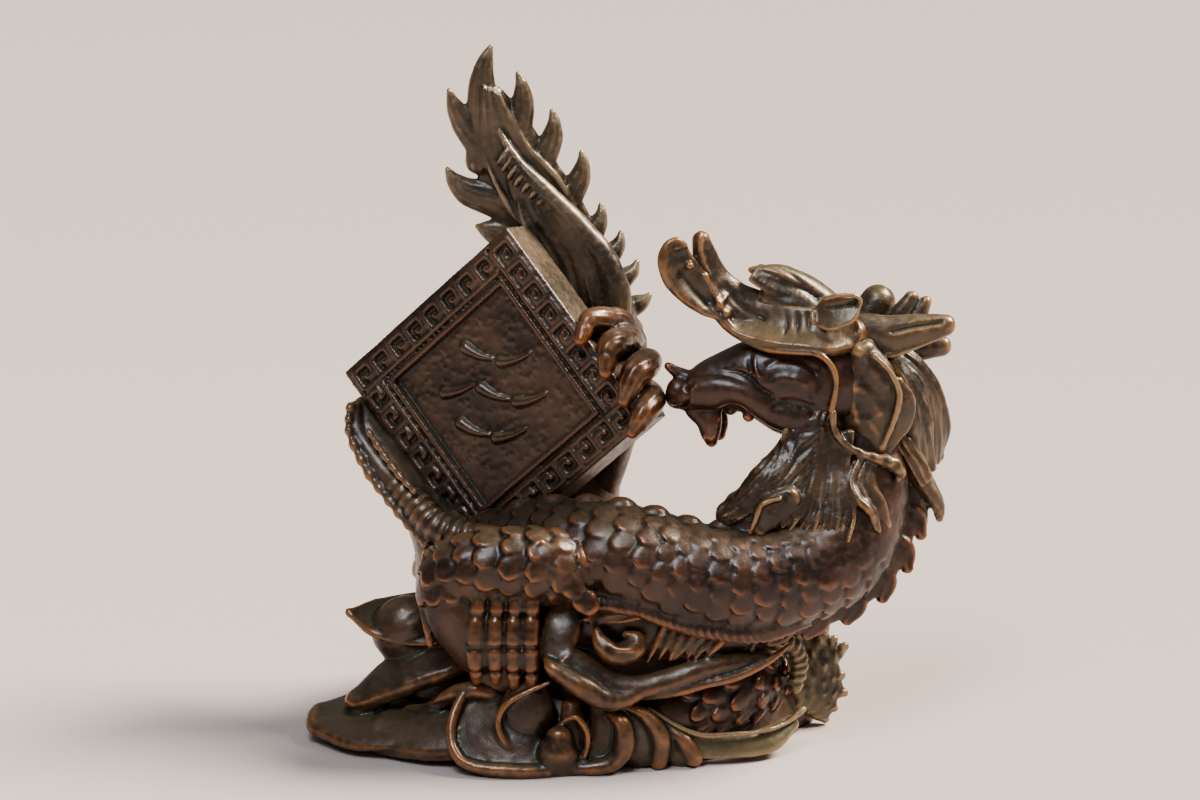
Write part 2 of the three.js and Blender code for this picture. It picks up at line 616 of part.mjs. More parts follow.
// ---------------------------------------------------------------- the base of clouds and waves
const MOUND = [
  [[-3, 0, 0], [24.5, 16, 12]],
  [[-1, -5, 8], [14, 8.5, 12]],
  [[-10, 6, 6], [15, 12, 9]],
];
const WAVES = [
  // low plate at the left, the slab above it, and the pointed leaf held out above that
  [
    v3(-0.1, -0.2, 1),
    [
      [-14, -5, 6.5, 8, 2.2], [-24, -6, 4.2, 8.5, 2], [-33, -6, 2.8, 7, 1.9],
      [-38, -5.6, 2.6, 3.4, 1.7],
    ],
  ],
  [
    v3(-0.2, -0.4, 1),
    [
      [-15, -3, 12.5, 4, 2], [-23, -5, 10.8, 3.8, 2.2], [-29.6, -5.6, 7.9, 2.9, 2.2],
      [-33, -5.8, 5.2, 1.8, 1.8],
    ],
  ],
  [
    v3(-0.1, -0.35, 1),
    [
      [-19, 0, 14.5, 5.5, 1.4], [-26, -1.6, 14, 5.4, 1.2], [-31.5, -2, 14.4, 3.6, 1],
      [-34.4, -2, 15, 0.6, 0.6],
    ],
  ],
  [FRONT, [[-27.4, -2.5, 13.2, 4.4, 4], [-25.6, -2, 9.6, 4, 4], [-22, -2, 5, 7, 6]]],
  // spoon-shaped scroll at the front, its rim and the round wave inside it
  [
    v3(-0.25, -0.8, 0.55),
    [
      [-16.5, -10, 10.4, 3.4, 2], [-18.2, -14, 6.8, 4, 1.9], [-16, -17, 3.4, 4.2, 1.8],
      [-11.4, -18, 2, 3, 1.8],
    ],
  ],
  [
    FRONT,
    [
      [-19.4, -13.6, 9.6, 0.9], [-20.9, -15.6, 5.6, 0.9], [-18.8, -18.2, 1.9, 1],
      [-13, -19.2, 1, 1], [-9.6, -18.8, 1.4, 1],
    ],
  ],
  [FRONT, [[-12.6, -13.8, 9.2, 2.2], [-12.2, -15.8, 5.6, 2.8], [-11.4, -16.6, 2.6, 2.4]]],
  // broad curled ribbon under the chest, the tongue in its curl and the lid above
  [
    FRONT,
    [
      [-7.8, -13.6, 19.8, 1.9, 1.4], [-7.9, -15.2, 15, 2.3, 1.8], [-4, -17, 10.8, 2.3, 2],
      [1.2, -17.6, 9.6, 2.1, 2], [6.4, -16.8, 11.2, 1.8, 1.8], [10.6, -15, 13.4, 1.4, 1.5],
      [14, -12.6, 15.4, 0.8, 1],
    ],
  ],
  [FRONT, [[-4, -14.6, 15.4, 1.1], [-2, -16, 13.4, 1.5], [0.8, -15.8, 13.2, 1.7], [1.4, -15, 15, 1.3]]],
  [
    FRONT,
    [
      [-6, -13.8, 18.4, 0.8], [-2.4, -15, 19, 0.9], [2.6, -15, 18.2, 0.9], [7.4, -14.4, 15.6, 0.8],
    ],
  ],
  // knob, and the wave crests that curl round it
  [FRONT, [[-8.4, -17.2, 1.4, 1.9, 1.8], [-8.4, -17.6, 5.4, 1.7, 1.6]]],
  [FRONT, [[-8, -14.6, 4, 3.6, 2.4], [0, -15, 4.4, 4.2, 2.4], [6, -13.6, 4, 3.6, 2.2]]],
  [FRONT, [[-7.6, -16.6, 7.6, 0.7, 1.2], [-5.2, -17.4, 4.8, 0.9, 1.3], [-6, -17.8, 1.2, 0.8, 1.3]]],
  [FRONT, [[-4.6, -16, 8.6, 0.8, 1.2], [-0.8, -17.2, 5.2, 1, 1.4], [-2.6, -17.6, 1.1, 0.9, 1.4]]],
  [FRONT, [[0.2, -16, 9, 0.8, 1.2], [4, -16.8, 5.4, 1, 1.4], [3.4, -17, 1.1, 1, 1.4]]],
  // lip that cups the coil at the right
  [
    FRONT,
    [
      [1.6, -14.4, 8.6, 1.2, 1.4], [7, -15.6, 4.4, 1.8, 1.5], [13, -14.8, 2.4, 2, 1.6],
      [18, -11.6, 2.4, 1.9, 1.6], [20.4, -6.4, 3.2, 1.6, 1.4],
    ],
  ],
];
// Plain round clouds close the base at the back.
const BACK_CLOUDS = { count: 6, from: 8, to: 172, reach: [20.5, 13.5], half: [6.4, 5.6, 7.2] };
function backClouds() {
  const { count, from, to, reach, half } = BACK_CLOUDS;
  return Array.from({ length: count }, (_, i) => {
    const angle = degToRad(lerp(from, to, i / (count - 1)));
    const middle = [-3 + reach[0] * Math.cos(angle), reach[1] * Math.sin(angle), 2 + 2.4 * (i % 2)];
    return egg(middle, half);
  });
}
const base = () => [
  ...MOUND.map(([middle, half]) => egg(middle, half)),
  ...backClouds(),
  ...WAVES.map(([facing, stations]) => sweep(stations, facing.clone().normalize())),
];

// ---------------------------------------------------------------- the casting
function casting() {
  const whole = join([
    ...base(),
    ...body(),
    ...neckFin(),
    ...coilFan(),
    ...tail(),
    ...tablet(),
    ...cradle(),
    ...head(),
    ...trimmings(),
    ...legs(),
  ]);
  const below = box(200, 200, 40, at(0, 0, -20));
  const { vertProperties, triVerts } = whole.subtract(below).getMesh();
  const { position, index } = thinned(vertProperties, triVerts, TRIANGLES);
  const geometry = new THREE.BufferGeometry();
  geometry.setAttribute("position", new THREE.BufferAttribute(position, 3));
  geometry.setIndex(index);
  geometry.computeBoundingBox();
  const middle = geometry.boundingBox.getCenter(v3());
  return geometry.translate(-middle.x, -middle.y, 0);
}

const bronze = new THREE.MeshStandardMaterial({ color: 0x4a2e1c, roughness: 0.45, metalness: 0.85 });
const dragon = new THREE.Mesh(casting(), bronze);
dragon.name = "dragon_casting";
const group = new THREE.Group();
group.add(dragon);
export default group;
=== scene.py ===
"""A small cast-bronze dragon that holds a square tablet, on a base of cloud and wave scrolls."""
import math

import bpy
import numpy as np
from mathutils import Matrix, Vector


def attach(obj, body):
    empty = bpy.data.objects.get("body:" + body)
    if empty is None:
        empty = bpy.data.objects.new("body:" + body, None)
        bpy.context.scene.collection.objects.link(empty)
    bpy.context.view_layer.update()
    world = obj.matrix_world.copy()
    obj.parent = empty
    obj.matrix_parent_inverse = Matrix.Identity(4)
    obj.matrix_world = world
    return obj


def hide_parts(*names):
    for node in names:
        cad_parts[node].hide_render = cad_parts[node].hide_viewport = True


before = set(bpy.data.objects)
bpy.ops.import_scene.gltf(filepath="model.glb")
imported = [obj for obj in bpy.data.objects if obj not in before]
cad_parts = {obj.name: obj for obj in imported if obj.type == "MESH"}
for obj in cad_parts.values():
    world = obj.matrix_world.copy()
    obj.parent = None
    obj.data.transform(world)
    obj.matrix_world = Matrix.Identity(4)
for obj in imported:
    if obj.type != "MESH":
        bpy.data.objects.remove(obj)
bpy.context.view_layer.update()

# ---------------------------------------------------------------- the cloud and wave base
# The foot of the casting: a mound with wave crests, a curled ribbon of cloud and a spoon-shaped scroll
# modelled over it in wax. It is poured in one with the dragon, and its underside is filed flat.
MM = 0.001
CENTRED = np.array([0.048, -0.579, 0.0])  # from the casting's own layout to the frame, in mm
FRONT = np.array([0.0, -1.0, 0.0])
UP = np.array([0.0, 0.0, 1.0])
GRAIN = 0.3  # mm between the points of a form as it is first drawn out
SKIN = 0.22  # mm between the points of the cast skin


def spline(points, places):
    """Points on the smooth curve through `points`, at places that run from 0 to 1."""
    points = np.asarray(points, float)
    last = len(points) - 1
    low = np.clip(np.floor(places * last).astype(int), 0, last - 1)
    part = (places * last - low)[:, None]
    padded = np.vstack([2 * points[0] - points[1], points, 2 * points[-1] - points[-2]])
    a, b, c, d = (padded[low + k] for k in range(4))
    middle = np.linalg.norm(c - b, axis=1, keepdims=True) ** 0.5
    middle = np.where(middle < 1e-4, 1.0, middle)
    before = np.linalg.norm(b - a, axis=1, keepdims=True) ** 0.5
    before = np.where(before < 1e-4, middle, before)
    after = np.linalg.norm(d - c, axis=1, keepdims=True) ** 0.5
    after = np.where(after < 1e-4, middle, after)
    start = ((b - a) / before - (c - a) / (before + middle) + (c - b) / middle) * middle
    end = ((c - b) / middle - (d - b) / (middle + after) + (d - c) / after) * middle
    bent = (2 * b - 2 * c + start + end) * part - 3 * b + 3 * c - 2 * start - end
    return bent * part**2 + start * part + b


def point_on(stations, place):
    """The one point at this place on the smooth curve through stations."""
    return spline([s[:3] for s in stations], np.array([place]))[0]


def unit(vectors):
    return vectors / np.maximum(np.linalg.norm(vectors, axis=-1, keepdims=True), 1e-9)


def heading(centres, places):
    """Which way the smooth curve through `centres` runs at each place."""
    after, before = np.minimum(places + 1e-3, 1), np.maximum(places - 1e-3, 0)
    return unit(spline(centres, after) - spline(centres, before))


def tube_faces(rings, sides):
    """Triangles between neighbouring rings of points, and a fan at each end to the two last points."""
    ring, side = np.meshgrid(np.arange(rings - 1), np.arange(sides), indexing="ij")
    a = (ring * sides + side).ravel()
    b = (ring * sides + (side + 1) % sides).ravel()
    walls = np.vstack([np.stack([a, b, b + sides], 1), np.stack([a, b + sides, a + sides], 1)])
    k = np.arange(sides)
    far = (rings - 1) * sides
    first = np.stack([np.full(sides, rings * sides), (k + 1) % sides, k], 1)
    last = np.stack([np.full(sides, rings * sides + 1), far + k, far + (k + 1) % sides], 1)
    return np.vstack([walls, first, last])


def drawn(stations, facing=FRONT, carve=None):
    """A rounded form drawn out along a smooth curve through stations, each [x, y, z, half width, half
    thickness]. The thickness lies towards `facing`. `carve` says how far its skin is raised, in mm, at a
    place along it from 0 to 1 and an angle about it, which is 90 degrees on the side of `facing`."""
    facing = unit(np.asarray(facing, float))
    centres = [s[:3] for s in stations]
    sizes = [[s[3], s[-1]] for s in stations]
    rough = spline(centres, np.linspace(0, 1, 60))
    length = np.linalg.norm(np.diff(rough, axis=0), axis=1).sum()
    rings = int(max(6, round(length / GRAIN)))
    sides = int(np.clip(round(2 * math.pi * max(map(max, sizes)) / GRAIN), 10, 130))
    places = np.linspace(0, 1, rings + 1)
    centre = spline(centres, places)
    size = np.maximum(spline(sizes, places), 0.05)
    ahead = heading(centres, places)
    cap = np.radians([20, 40, 58, 74])
    reach = [size[0].min(), size[-1].min()]
    centre = np.vstack([
        centre[0] - ahead[0] * reach[0] * np.sin(cap[::-1, None]),
        centre,
        centre[-1] + ahead[-1] * reach[1] * np.sin(cap[:, None]),
    ])
    shrink = np.concatenate([np.cos(cap[::-1]), np.ones(rings + 1), np.cos(cap)])
    ends = np.concatenate([np.zeros(len(cap), int), np.arange(rings + 1), np.full(len(cap), rings)])
    size, ahead, places = size[ends], ahead[ends], places[ends]
    out = unit(facing - ahead * (ahead @ facing)[:, None])
    across = np.cross(ahead, out)
    angle = np.linspace(0, 2 * math.pi, sides, endpoint=False)
    side_part = np.cos(angle)[None, :, None] * across[:, None, :]
    out_part = np.sin(angle)[None, :, None] * out[:, None, :]
    wide, thick = size[:, :1, None], size[:, 1:, None]
    skin = centre[:, None, :] + (side_part * wide + out_part * thick) * shrink[:, None, None]
    if carve:
        raised = carve(places[:, None], angle[None, :]) * np.ones((len(places), sides))
        raised = (raised * shrink[:, None])[:, :, None]
        skin = skin + unit(side_part / wide + out_part / thick) * raised
    points = np.vstack([skin.reshape(-1, 3), skin[0].mean(0), skin[-1].mean(0)])
    return points, tube_faces(len(places), sides)


def all_drawn(lines, facing=FRONT, carve=None):
    return [drawn(stations, facing, carve) for stations in lines]


def egg(middle, half):
    """An egg shape: its middle, then its half sizes."""
    turn = np.linspace(0.05, math.pi - 0.05, 24)
    angle = np.linspace(0, 2 * math.pi, 36, endpoint=False)
    across = np.sin(turn)[:, None]
    deep = np.cos(turn)[:, None] + 0 * angle
    ball = np.stack([across * np.cos(angle), across * np.sin(angle), deep], -1)
    points = np.vstack([ball.reshape(-1, 3), [0, 0, 1], [0, 0, -1]])
    return points * half + middle, tube_faces(24, 36)


def gathered(forms):
    """Several forms as one set of points and triangles."""
    starts = np.cumsum([0] + [len(points) for points, _ in forms[:-1]])
    faces = [triangles + start for (_, triangles), start in zip(forms, starts)]
    return np.vstack([points for points, _ in forms]), np.vstack(faces)


def mesh_of(name, points, triangles):
    mesh = bpy.data.meshes.new(name)
    mesh.vertices.add(len(points))
    mesh.vertices.foreach_set("co", np.ascontiguousarray(points, np.float32).ravel())
    mesh.loops.add(triangles.size)
    mesh.loops.foreach_set("vertex_index", triangles.ravel().astype(np.int32))
    mesh.polygons.add(len(triangles))
    mesh.polygons.foreach_set("loop_start", np.arange(0, triangles.size, 3, dtype=np.int32))
    mesh.update(calc_edges=True)
    return mesh


def read_points(mesh, what="co"):
    values = np.empty(len(mesh.vertices) * 3, np.float32)
    mesh.vertices.foreach_get(what, values)
    return values.reshape(-1, 3).astype(float)


def write_points(mesh, points):
    mesh.vertices.foreach_set("co", points.astype(np.float32).ravel())
    mesh.update()


def read_edges(mesh):
    ends = np.empty(len(mesh.edges) * 2, np.int32)
    mesh.edges.foreach_get("vertices", ends)
    return ends.reshape(-1, 2)


def evened(points, edges, rounds):
    """The points after each has moved `rounds` times half way to the middle of its neighbours."""
    count = len(points)
    ends = np.concatenate([edges[:, 0], edges[:, 1]])
    others = np.concatenate([edges[:, 1], edges[:, 0]])
    links = np.maximum(np.bincount(ends, minlength=count), 1)[:, None]
    for _ in range(rounds):
        sums = np.stack([np.bincount(ends, points[others, k], count) for k in range(3)], 1)
        points = 0.5 * points + 0.5 * sums / links
    return points


def placed(name, data):
    """A new object in the scene that holds this mesh, light or camera."""
    ob = bpy.data.objects.new(name, data)
    bpy.context.scene.collection.objects.link(ob)
    return ob


def evaluated(ob):
    """The mesh that an object's modifiers make of it."""
    bpy.context.view_layer.update()
    return bpy.data.meshes.new_from_object(ob.evaluated_get(bpy.context.evaluated_depsgraph_get()))


def with_modifiers(mesh, *settings):
    """A plain copy of `mesh` with modifiers applied, each a kind and its settings."""
    ob = placed("work", mesh)
    for kind, values in settings:
        modifier = ob.modifiers.new(kind, kind)
        for key, value in values.items():
            setattr(modifier, key, value)
    made = evaluated(ob)
    bpy.data.objects.remove(ob)
    bpy.data.meshes.remove(mesh)
    return made


def tooled(mesh, strokes):
    """Lines pressed into the wax, or raised on it, each (points, half width, height), from the front."""
    points, normals = read_points(mesh), read_points(mesh, "normal")
    for path, half, height in strokes:
        path = np.asarray(path, float)
        line = spline(path, np.linspace(0, 1, 12 * len(path)))
        low, high = line.min(0) - 3 * half, line.max(0) + 3 * half
        near = (points[:, 0] > low[0]) & (points[:, 0] < high[0]) & (normals[:, 1] < 0.25)
        near &= (points[:, 2] > low[2]) & (points[:, 2] < high[2])
        near &= (points[:, 1] > low[1] - 3) & (points[:, 1] < high[1] + 3)
        chosen = np.flatnonzero(near)
        if not len(chosen):
            continue
        gap = points[chosen][:, None, :] - line[None]
        away = np.sqrt((gap * gap * [1, 0.1, 1]).sum(2)).min(1)
        points[chosen] += normals[chosen] * (height * np.exp(-((away / half) ** 2)))[:, None]
    write_points(mesh, points)


def cloudy(name, grain):
    """A soft irregular pattern with lumps of about `grain` mm, to make a surface uneven by hand."""
    pattern = bpy.data.textures.new(name, "CLOUDS")
    pattern.noise_scale = grain
    pattern.noise_depth = 2
    return pattern


THUMBED = cloudy("thumbed_wax", 3.2)
SCRAPED = cloudy("scraped_wax", 0.9)
THUMB_DEPTH, SCRAPE_DEPTH = 0.22, 0.07  # mm, how uneven the two patterns leave the wax
CLOSE, BROAD = 7, 60  # rounds of evening that take away fine edges, and then round forms
CREST, SWELL = 0.05, 0.26  # mm that a fine edge, and a round form, stand out where they count as full


def marked(mesh):
    """Records for the finish what stands out as an edge, `crest`, or as a form, `swell`, and how far
    each point of the skin looks up."""
    points, edges, normals = read_points(mesh), read_edges(mesh), read_points(mesh, "normal")
    close = evened(points, edges, CLOSE)
    broad = evened(close, edges, BROAD)
    crest = ((points - close) * normals).sum(1) / CREST
    swell = ((close - broad) * normals).sum(1) / SWELL
    for name, values in (("crest", crest), ("swell", swell), ("upward", normals[:, 2])):
        values = np.clip(evened(np.stack([values] * 3, 1), edges, 2)[:, 0], -1, 1)
        attribute = mesh.attributes.new(name, "FLOAT", "POINT")
        attribute.data.foreach_set("value", values.astype(np.float32))


def cast(name, forms, finish, strokes=(), skin=SKIN, most=180000, soften=2, uneven=1.0):
    """One part of the casting: its forms run together under one skin, tooled, and set in the frame. `most`
    is the most triangles it keeps, and `uneven` scales how far the wax is from smooth."""
    mesh = mesh_of(name, *gathered(forms))
    mesh = with_modifiers(
        mesh,
        ("REMESH", {"mode": "VOXEL", "voxel_size": skin}),
        ("DISPLACE", {"texture": THUMBED, "strength": THUMB_DEPTH * uneven, "mid_level": 0.5}),
        ("DISPLACE", {"texture": SCRAPED, "strength": SCRAPE_DEPTH * uneven, "mid_level": 0.5}),
    )
    points = evened(read_points(mesh), read_edges(mesh), soften)
    points[:, 2] = np.maximum(points[:, 2], 0)
    write_points(mesh, points)
    tooled(mesh, strokes)
    marked(mesh)
    faces = 2 * len(mesh.polygons)
    if faces > most:
        mesh = with_modifiers(mesh, ("DECIMATE", {"ratio": most / faces}))
    points = (read_points(mesh) + CENTRED) * MM
    points[:, 2] = np.maximum(points[:, 2], 0)
    write_points(mesh, points)
    mesh.shade_smooth()
    mesh.materials.clear()
    mesh.materials.append(finish)
    piece = placed(name, mesh)
    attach(piece, "root")
    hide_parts("dragon_casting")
    print(name, faces, "faces as skinned,", len(mesh.polygons), "kept")
    return piece


def fill(tree, node, inputs):
    """Sets inputs of a node, each to a plain value or to a link from an output."""
    for key, value in inputs.items():
        if isinstance(value, bpy.types.NodeSocket):
            tree.links.new(value, node.inputs[key])
        else:
            node.inputs[key].default_value = value


def wired(tree, kind, inputs=None, **settings):
    """A new node of this kind in a tree, with its settings made and its inputs set."""
    node = tree.nodes.new(kind)
    for key, value in settings.items():
        setattr(node, key, value)
    fill(tree, node, inputs or {})
    return node


# The pale tone is partly patina and partly painted light on faces that look up.
PALE_PATINA_AND_TOP_LIGHT, COPPER = (0.27, 0.21, 0.13), (0.56, 0.22, 0.13)


def bronze(name, brown, rubbed, deep, rub=0.5, green=0.5, bloom_and_top_light=0.3, bare=0.0, crease_shade=0.3):
    """Patinated bronze: brown all over, `rubbed` on what stands out, `deep` in what lies back, and pale on
    what looks up, partly as pale patina and partly as painted light from above. `rub`, `green` and
    `bloom_and_top_light` say how strong these three are. `bare` widens the spots where copper shows, with
    none at 0, and `crease_shade` is how bright the brown stays in the creases, which are darkened as
    painted shade."""
    finish = bpy.data.materials.new(name)
    finish.use_nodes = True
    tree = finish.node_tree
    place = wired(tree, "ShaderNodeTexCoord").outputs["Object"]

    def mottle(scale, detail):
        inputs = {"Scale": scale, "Detail": detail, "Vector": place}
        return wired(tree, "ShaderNodeTexNoise", inputs).outputs["Fac"]

    def worked(operation, a, b, c=0.0):
        return wired(tree, "ShaderNodeMath", {0: a, 1: b, 2: c}, operation=operation).outputs[0]

    def between(value, low, high, start=0.0, end=1.0):
        inputs = {"Value": value, "From Min": low, "From Max": high, "To Min": start, "To Max": end}
        ranged = wired(tree, "ShaderNodeMapRange", inputs, interpolation_type="SMOOTHSTEP")
        return ranged.outputs["Result"]

    def tinted(under, over, share):
        under, over = ((*tone, 1) if isinstance(tone, tuple) else tone for tone in (under, over))
        inputs = {0: share, 6: under, 7: over}
        return wired(tree, "ShaderNodeMix", inputs, data_type="RGBA").outputs[2]

    def read(attribute):
        return wired(tree, "ShaderNodeAttribute", attribute_name=attribute).outputs["Fac"]

    crest, swell = read("crest"), read("swell")
    patch, fleck, speck = mottle(150, 4), mottle(1300, 5), mottle(5200, 3)
    darker = tuple(0.55 * part for part in brown)
    lighter = tuple(1.7 * part for part in brown)
    colour = tinted(darker, lighter, between(patch, 0.36, 0.64))
    ruddy = (brown[0] * 2.2, brown[1] * 1.35, brown[2] * 1.0)
    colour = tinted(colour, ruddy, between(fleck, 0.5, 0.72, 0.0, 0.6))
    sunk = worked("MULTIPLY_ADD", swell, -0.75, worked("MULTIPLY", crest, -0.35))
    sunk = worked("ADD", sunk, worked("MULTIPLY_ADD", patch, 1.0, -0.5))
    colour = tinted(colour, deep, between(sunk, 0.15, 0.75, 0.0, green))
    # Painted light: faces that look up turn pale, partly as patina and partly as light falling from above.
    high = worked("MULTIPLY_ADD", patch, 0.5, read("upward"))
    colour = tinted(colour, PALE_PATINA_AND_TOP_LIGHT, between(high, 0.65, 1.35, 0.0, bloom_and_top_light))
    proud = worked("MULTIPLY_ADD", crest, 0.85, worked("MULTIPLY", swell, 0.25))
    proud = worked("ADD", proud, worked("MULTIPLY_ADD", fleck, 0.5, -0.25))
    colour = tinted(colour, rubbed, between(proud, 0.3, 1.15, 0.0, rub))
    # Painted shade: fine creases darken towards a darker copy of the brown, as if shade lay in them.
    crease_shade_tone = tuple(crease_shade * part for part in brown)
    colour = tinted(colour, crease_shade_tone, between(worked("MULTIPLY", crest, -1.0), 0.15, 0.8, 0.0, 0.85))
    if bare:
        spots = worked("ADD", worked("MULTIPLY", swell, 0.35), worked("MULTIPLY", patch, 1.0))
        spots = worked("ADD", spots, worked("MULTIPLY_ADD", fleck, 0.5, -0.25))
        colour = tinted(colour, COPPER, between(spots, 0.86 - bare, 0.94 - bare, 0.0, 0.85))
    polish = worked("ADD", between(proud, 0.2, 1.0, 0.0, -0.12), between(sunk, 0.1, 0.8, 0.0, 0.22))
    height = worked("MULTIPLY_ADD", fleck, 0.8, worked("MULTIPLY", speck, 0.25))
    bump = wired(tree, "ShaderNodeBump", {"Strength": 0.55, "Distance": 0.00012, "Height": height})
    fill(tree, tree.nodes["Principled BSDF"], {
        "Base Color": colour,
        "Roughness": worked("ADD", polish, between(fleck, 0.3, 0.7, 0.32, 0.5)),
        "Metallic": 0.3,
        "Specular IOR Level": 0.6,
        "Coat Weight": 0.4,
        "Coat Roughness": 0.244,
        "Normal": bump.outputs["Normal"],
    })
    return finish


def dished(depth):
    """A face sunk like a dish, with a thin edge left standing all round it."""
    def carve(place, angle):
        sunk = np.clip(1 - (np.cos(angle) / 0.86) ** 2, 0, 1) ** 0.7
        ends = np.clip(np.minimum(place, 1 - place) / 0.12, 0, 1) ** 0.6
        return -depth * sunk * ends * (np.sin(angle) > 0)
    return carve


def curtain(left, right, count, half, seed, facing=FRONT):
    """Strands side by side between a left-hand and a right-hand line, each a little uneven."""
    chance = np.random.default_rng(seed)
    strands = []
    for share in np.linspace(0, 1, count):
        line = (1 - share) * np.array(left, float) + share * np.array(right, float)
        line += chance.normal(0, 0.12, line.shape)
        wide = half * chance.uniform(0.8, 1.2)
        taper = np.interp(np.linspace(0, 1, len(line)), [0, 0.5, 0.8, 1], [0.9, 1.1, 0.9, 0.4])
        strands.append(drawn([[*p, wide * part, wide] for p, part in zip(line, taper)], facing))
    return strands


BASE_FINISH = bronze(
    "base_bronze", (0.046, 0.027, 0.016), (0.3, 0.135, 0.05), (0.06, 0.07, 0.03), rub=0.75, green=0.8
)
MOUND = [[[-3, 0, 0], [24.5, 16, 12]], [[-1, -5, 8], [14, 8.5, 12]], [[-10, 6, 6], [15, 12, 9]]]
PLATES = [
    [
        (-0.1, -0.2, 1),
        [
            [-14, -6, 6.2, 8, 2.2], [-24, -6.6, 4.0, 8.5, 1.9], [-33, -6.2, 2.7, 7, 1.7],
            [-38.2, -5.6, 2.4, 3.2, 1.5],
        ],
    ],
    [
        (-0.2, -0.4, 1),
        [
            [-15, -3, 12.5, 4.4, 2], [-23, -5.4, 10.4, 4.2, 2.0], [-29.6, -6.2, 7.4, 3.2, 2.0],
            [-33.2, -6.2, 4.8, 1.8, 1.7],
        ],
    ],
    [
        (-0.1, -0.35, 1),
        [
            [-19, 0, 14.5, 5.5, 1.4], [-26, -1.6, 14, 5.4, 1.2], [-31.5, -2, 14.4, 3.6, 1],
            [-34.4, -2, 15, 0.6, 0.6],
        ],
    ],
]
APRON = [[-30, -9.6, 2.2, 3.6, 1.9], [-24, -12.4, 3.0, 4.2, 2.1], [-19, -13, 3.8, 4.6, 2.2]]
STEM = [[-27.4, -2.5, 13.2, 4.4, 4], [-25.6, -2, 9.6, 4, 4], [-22, -2, 5, 7, 6]]
SPOON = [
    [-17, -11.6, 8.4, 3.0, 1.8], [-18, -14, 6.2, 3.6, 1.8], [-17.2, -16.6, 3.6, 4.2, 1.8],
    [-12.6, -18, 2.0, 3.2, 1.8], [-9.6, -18, 1.6, 2.2, 1.6],
]
SPOON_RIM = [
    [-17.4, -13, 9.1, 0.4], [-19.4, -13.4, 8.9, 0.55], [-20.8, -15, 7.2, 0.6], [-21.4, -16.4, 5.3, 0.62],
    [-21.2, -17.6, 3.4, 0.65], [-20.2, -18.6, 1.9, 0.7], [-18.2, -19.2, 1.2, 0.75],
    [-15.6, -19.6, 1.0, 0.8], [-12.6, -19.6, 0.8, 0.8], [-9.8, -19.2, 0.8, 0.8],
]
SHOULDER = [
    [-27, -8, 4.6, 0.5], [-24.2, -10.4, 5.6, 0.8], [-22, -11.8, 7.4, 1.0], [-20.2, -12.8, 8.5, 1.1],
    [-18.4, -13.4, 8.9, 1.1], [-16.6, -13.4, 8.5, 1.0], [-14.8, -13.4, 7.6, 0.6],
]
LOBE = [-12.3, -14.6, 6.0], [3.5, 2.9, 4.6]
LOBE_EDGE = [
    [-9.6, -16, 10.8, 0.3], [-12.6, -16.6, 9.6, 0.4], [-15, -16.9, 8, 0.45], [-15.7, -17.2, 6, 0.45],
    [-14.8, -17.8, 3.8, 0.45], [-13.1, -18.2, 2.6, 0.3],
]
# The ribbon of cloud: its broad end stands up under the shoulder, and a face and a thick roll run off
# to the right of it.
RIBBON_END = [
    [-7.4, -12.6, 19.6, 1.8, 1.1], [-8.0, -14.2, 17.2, 2.3, 1.3], [-8.7, -15.4, 14.8, 2.2, 1.3],
    [-7.8, -16.2, 13.6, 1.8, 1.2],
]
RIBBON_FACE = [
    [-8.6, -15.6, 14.4, 1.4, 1.0], [-6.2, -16.2, 13.4, 1.5, 1.1], [-4.1, -16.6, 12.0, 1.5, 1.1],
    [-1.7, -16.8, 10.9, 1.5, 1.1], [1.5, -16.8, 10.6, 1.4, 1.1], [4.9, -16.2, 11.4, 1.4, 1.0],
    [8.3, -15.6, 12.3, 1.3, 1.0], [12.3, -14.6, 12.9, 1.1, 0.9], [16.2, -13.4, 13.2, 0.7, 0.7],
]
RIBBON_ROLL = [
    [-9.9, -16.6, 13.9, 0.5], [-9.2, -17.2, 13.2, 1.0], [-7.6, -17.6, 12.2, 1.25],
    [-5.1, -18, 10.7, 1.45], [-3.1, -18, 9.4, 1.4], [-1.0, -17.8, 9.3, 1.2], [1.1, -17.4, 9.9, 0.8],
    [3, -16.9, 10.3, 0.4],
]
RIBBON_KEEL = [
    [-3.4, -16.8, 8.9, 0.4], [1.5, -16.8, 9.3, 0.5], [5.4, -16.6, 9.8, 0.6], [9.3, -16.2, 10.7, 0.6],
    [13.3, -15.4, 11.5, 0.6], [17.2, -13.8, 13.1, 0.5], [19.2, -12.8, 14.4, 0.3],
]
RECESS = [
    [-8, -12, 17.5, 3, 1.6], [0, -12.8, 16.8, 3.6, 1.6], [8, -12.8, 15.8, 3.4, 1.6],
    [14, -11.6, 15, 2.6, 1.6],
]
BUD = [
    [-3.9, -15.6, 17.3, 0.5], [-3.4, -16.2, 15.8, 1.0], [-1.7, -16.6, 14.6, 1.4], [0.4, -16.4, 15.1, 1.5],
    [0.9, -16, 16.2, 1.1], [-0.3, -15.8, 16.7, 0.6],
]
LIDS = (
    [[-5.4, -14.6, 18.4], [-2.4, -14.9, 19.2], [0.5, -15, 19.9], [3, -14.9, 20.4]],
    [[-4.2, -14.6, 17.8], [-1.0, -15, 18.3], [2.4, -15.1, 18.9], [4.4, -15, 19.2]],
)
CRINKLES = (
    [[4.4, -14.6, 18.8], [3.6, -15.2, 16.0], [2.4, -15.8, 13.4]],
    [[12.6, -14.2, 17.4], [10.8, -14.7, 15.6], [9, -15.0, 13.8]],
)
KNOB = [[-8.3, -17.6, 0.6, 2.4, 1.8], [-8.6, -18.4, 2.8, 2.4, 1.8], [-8.4, -18.2, 4.6, 1.7, 1.5]]
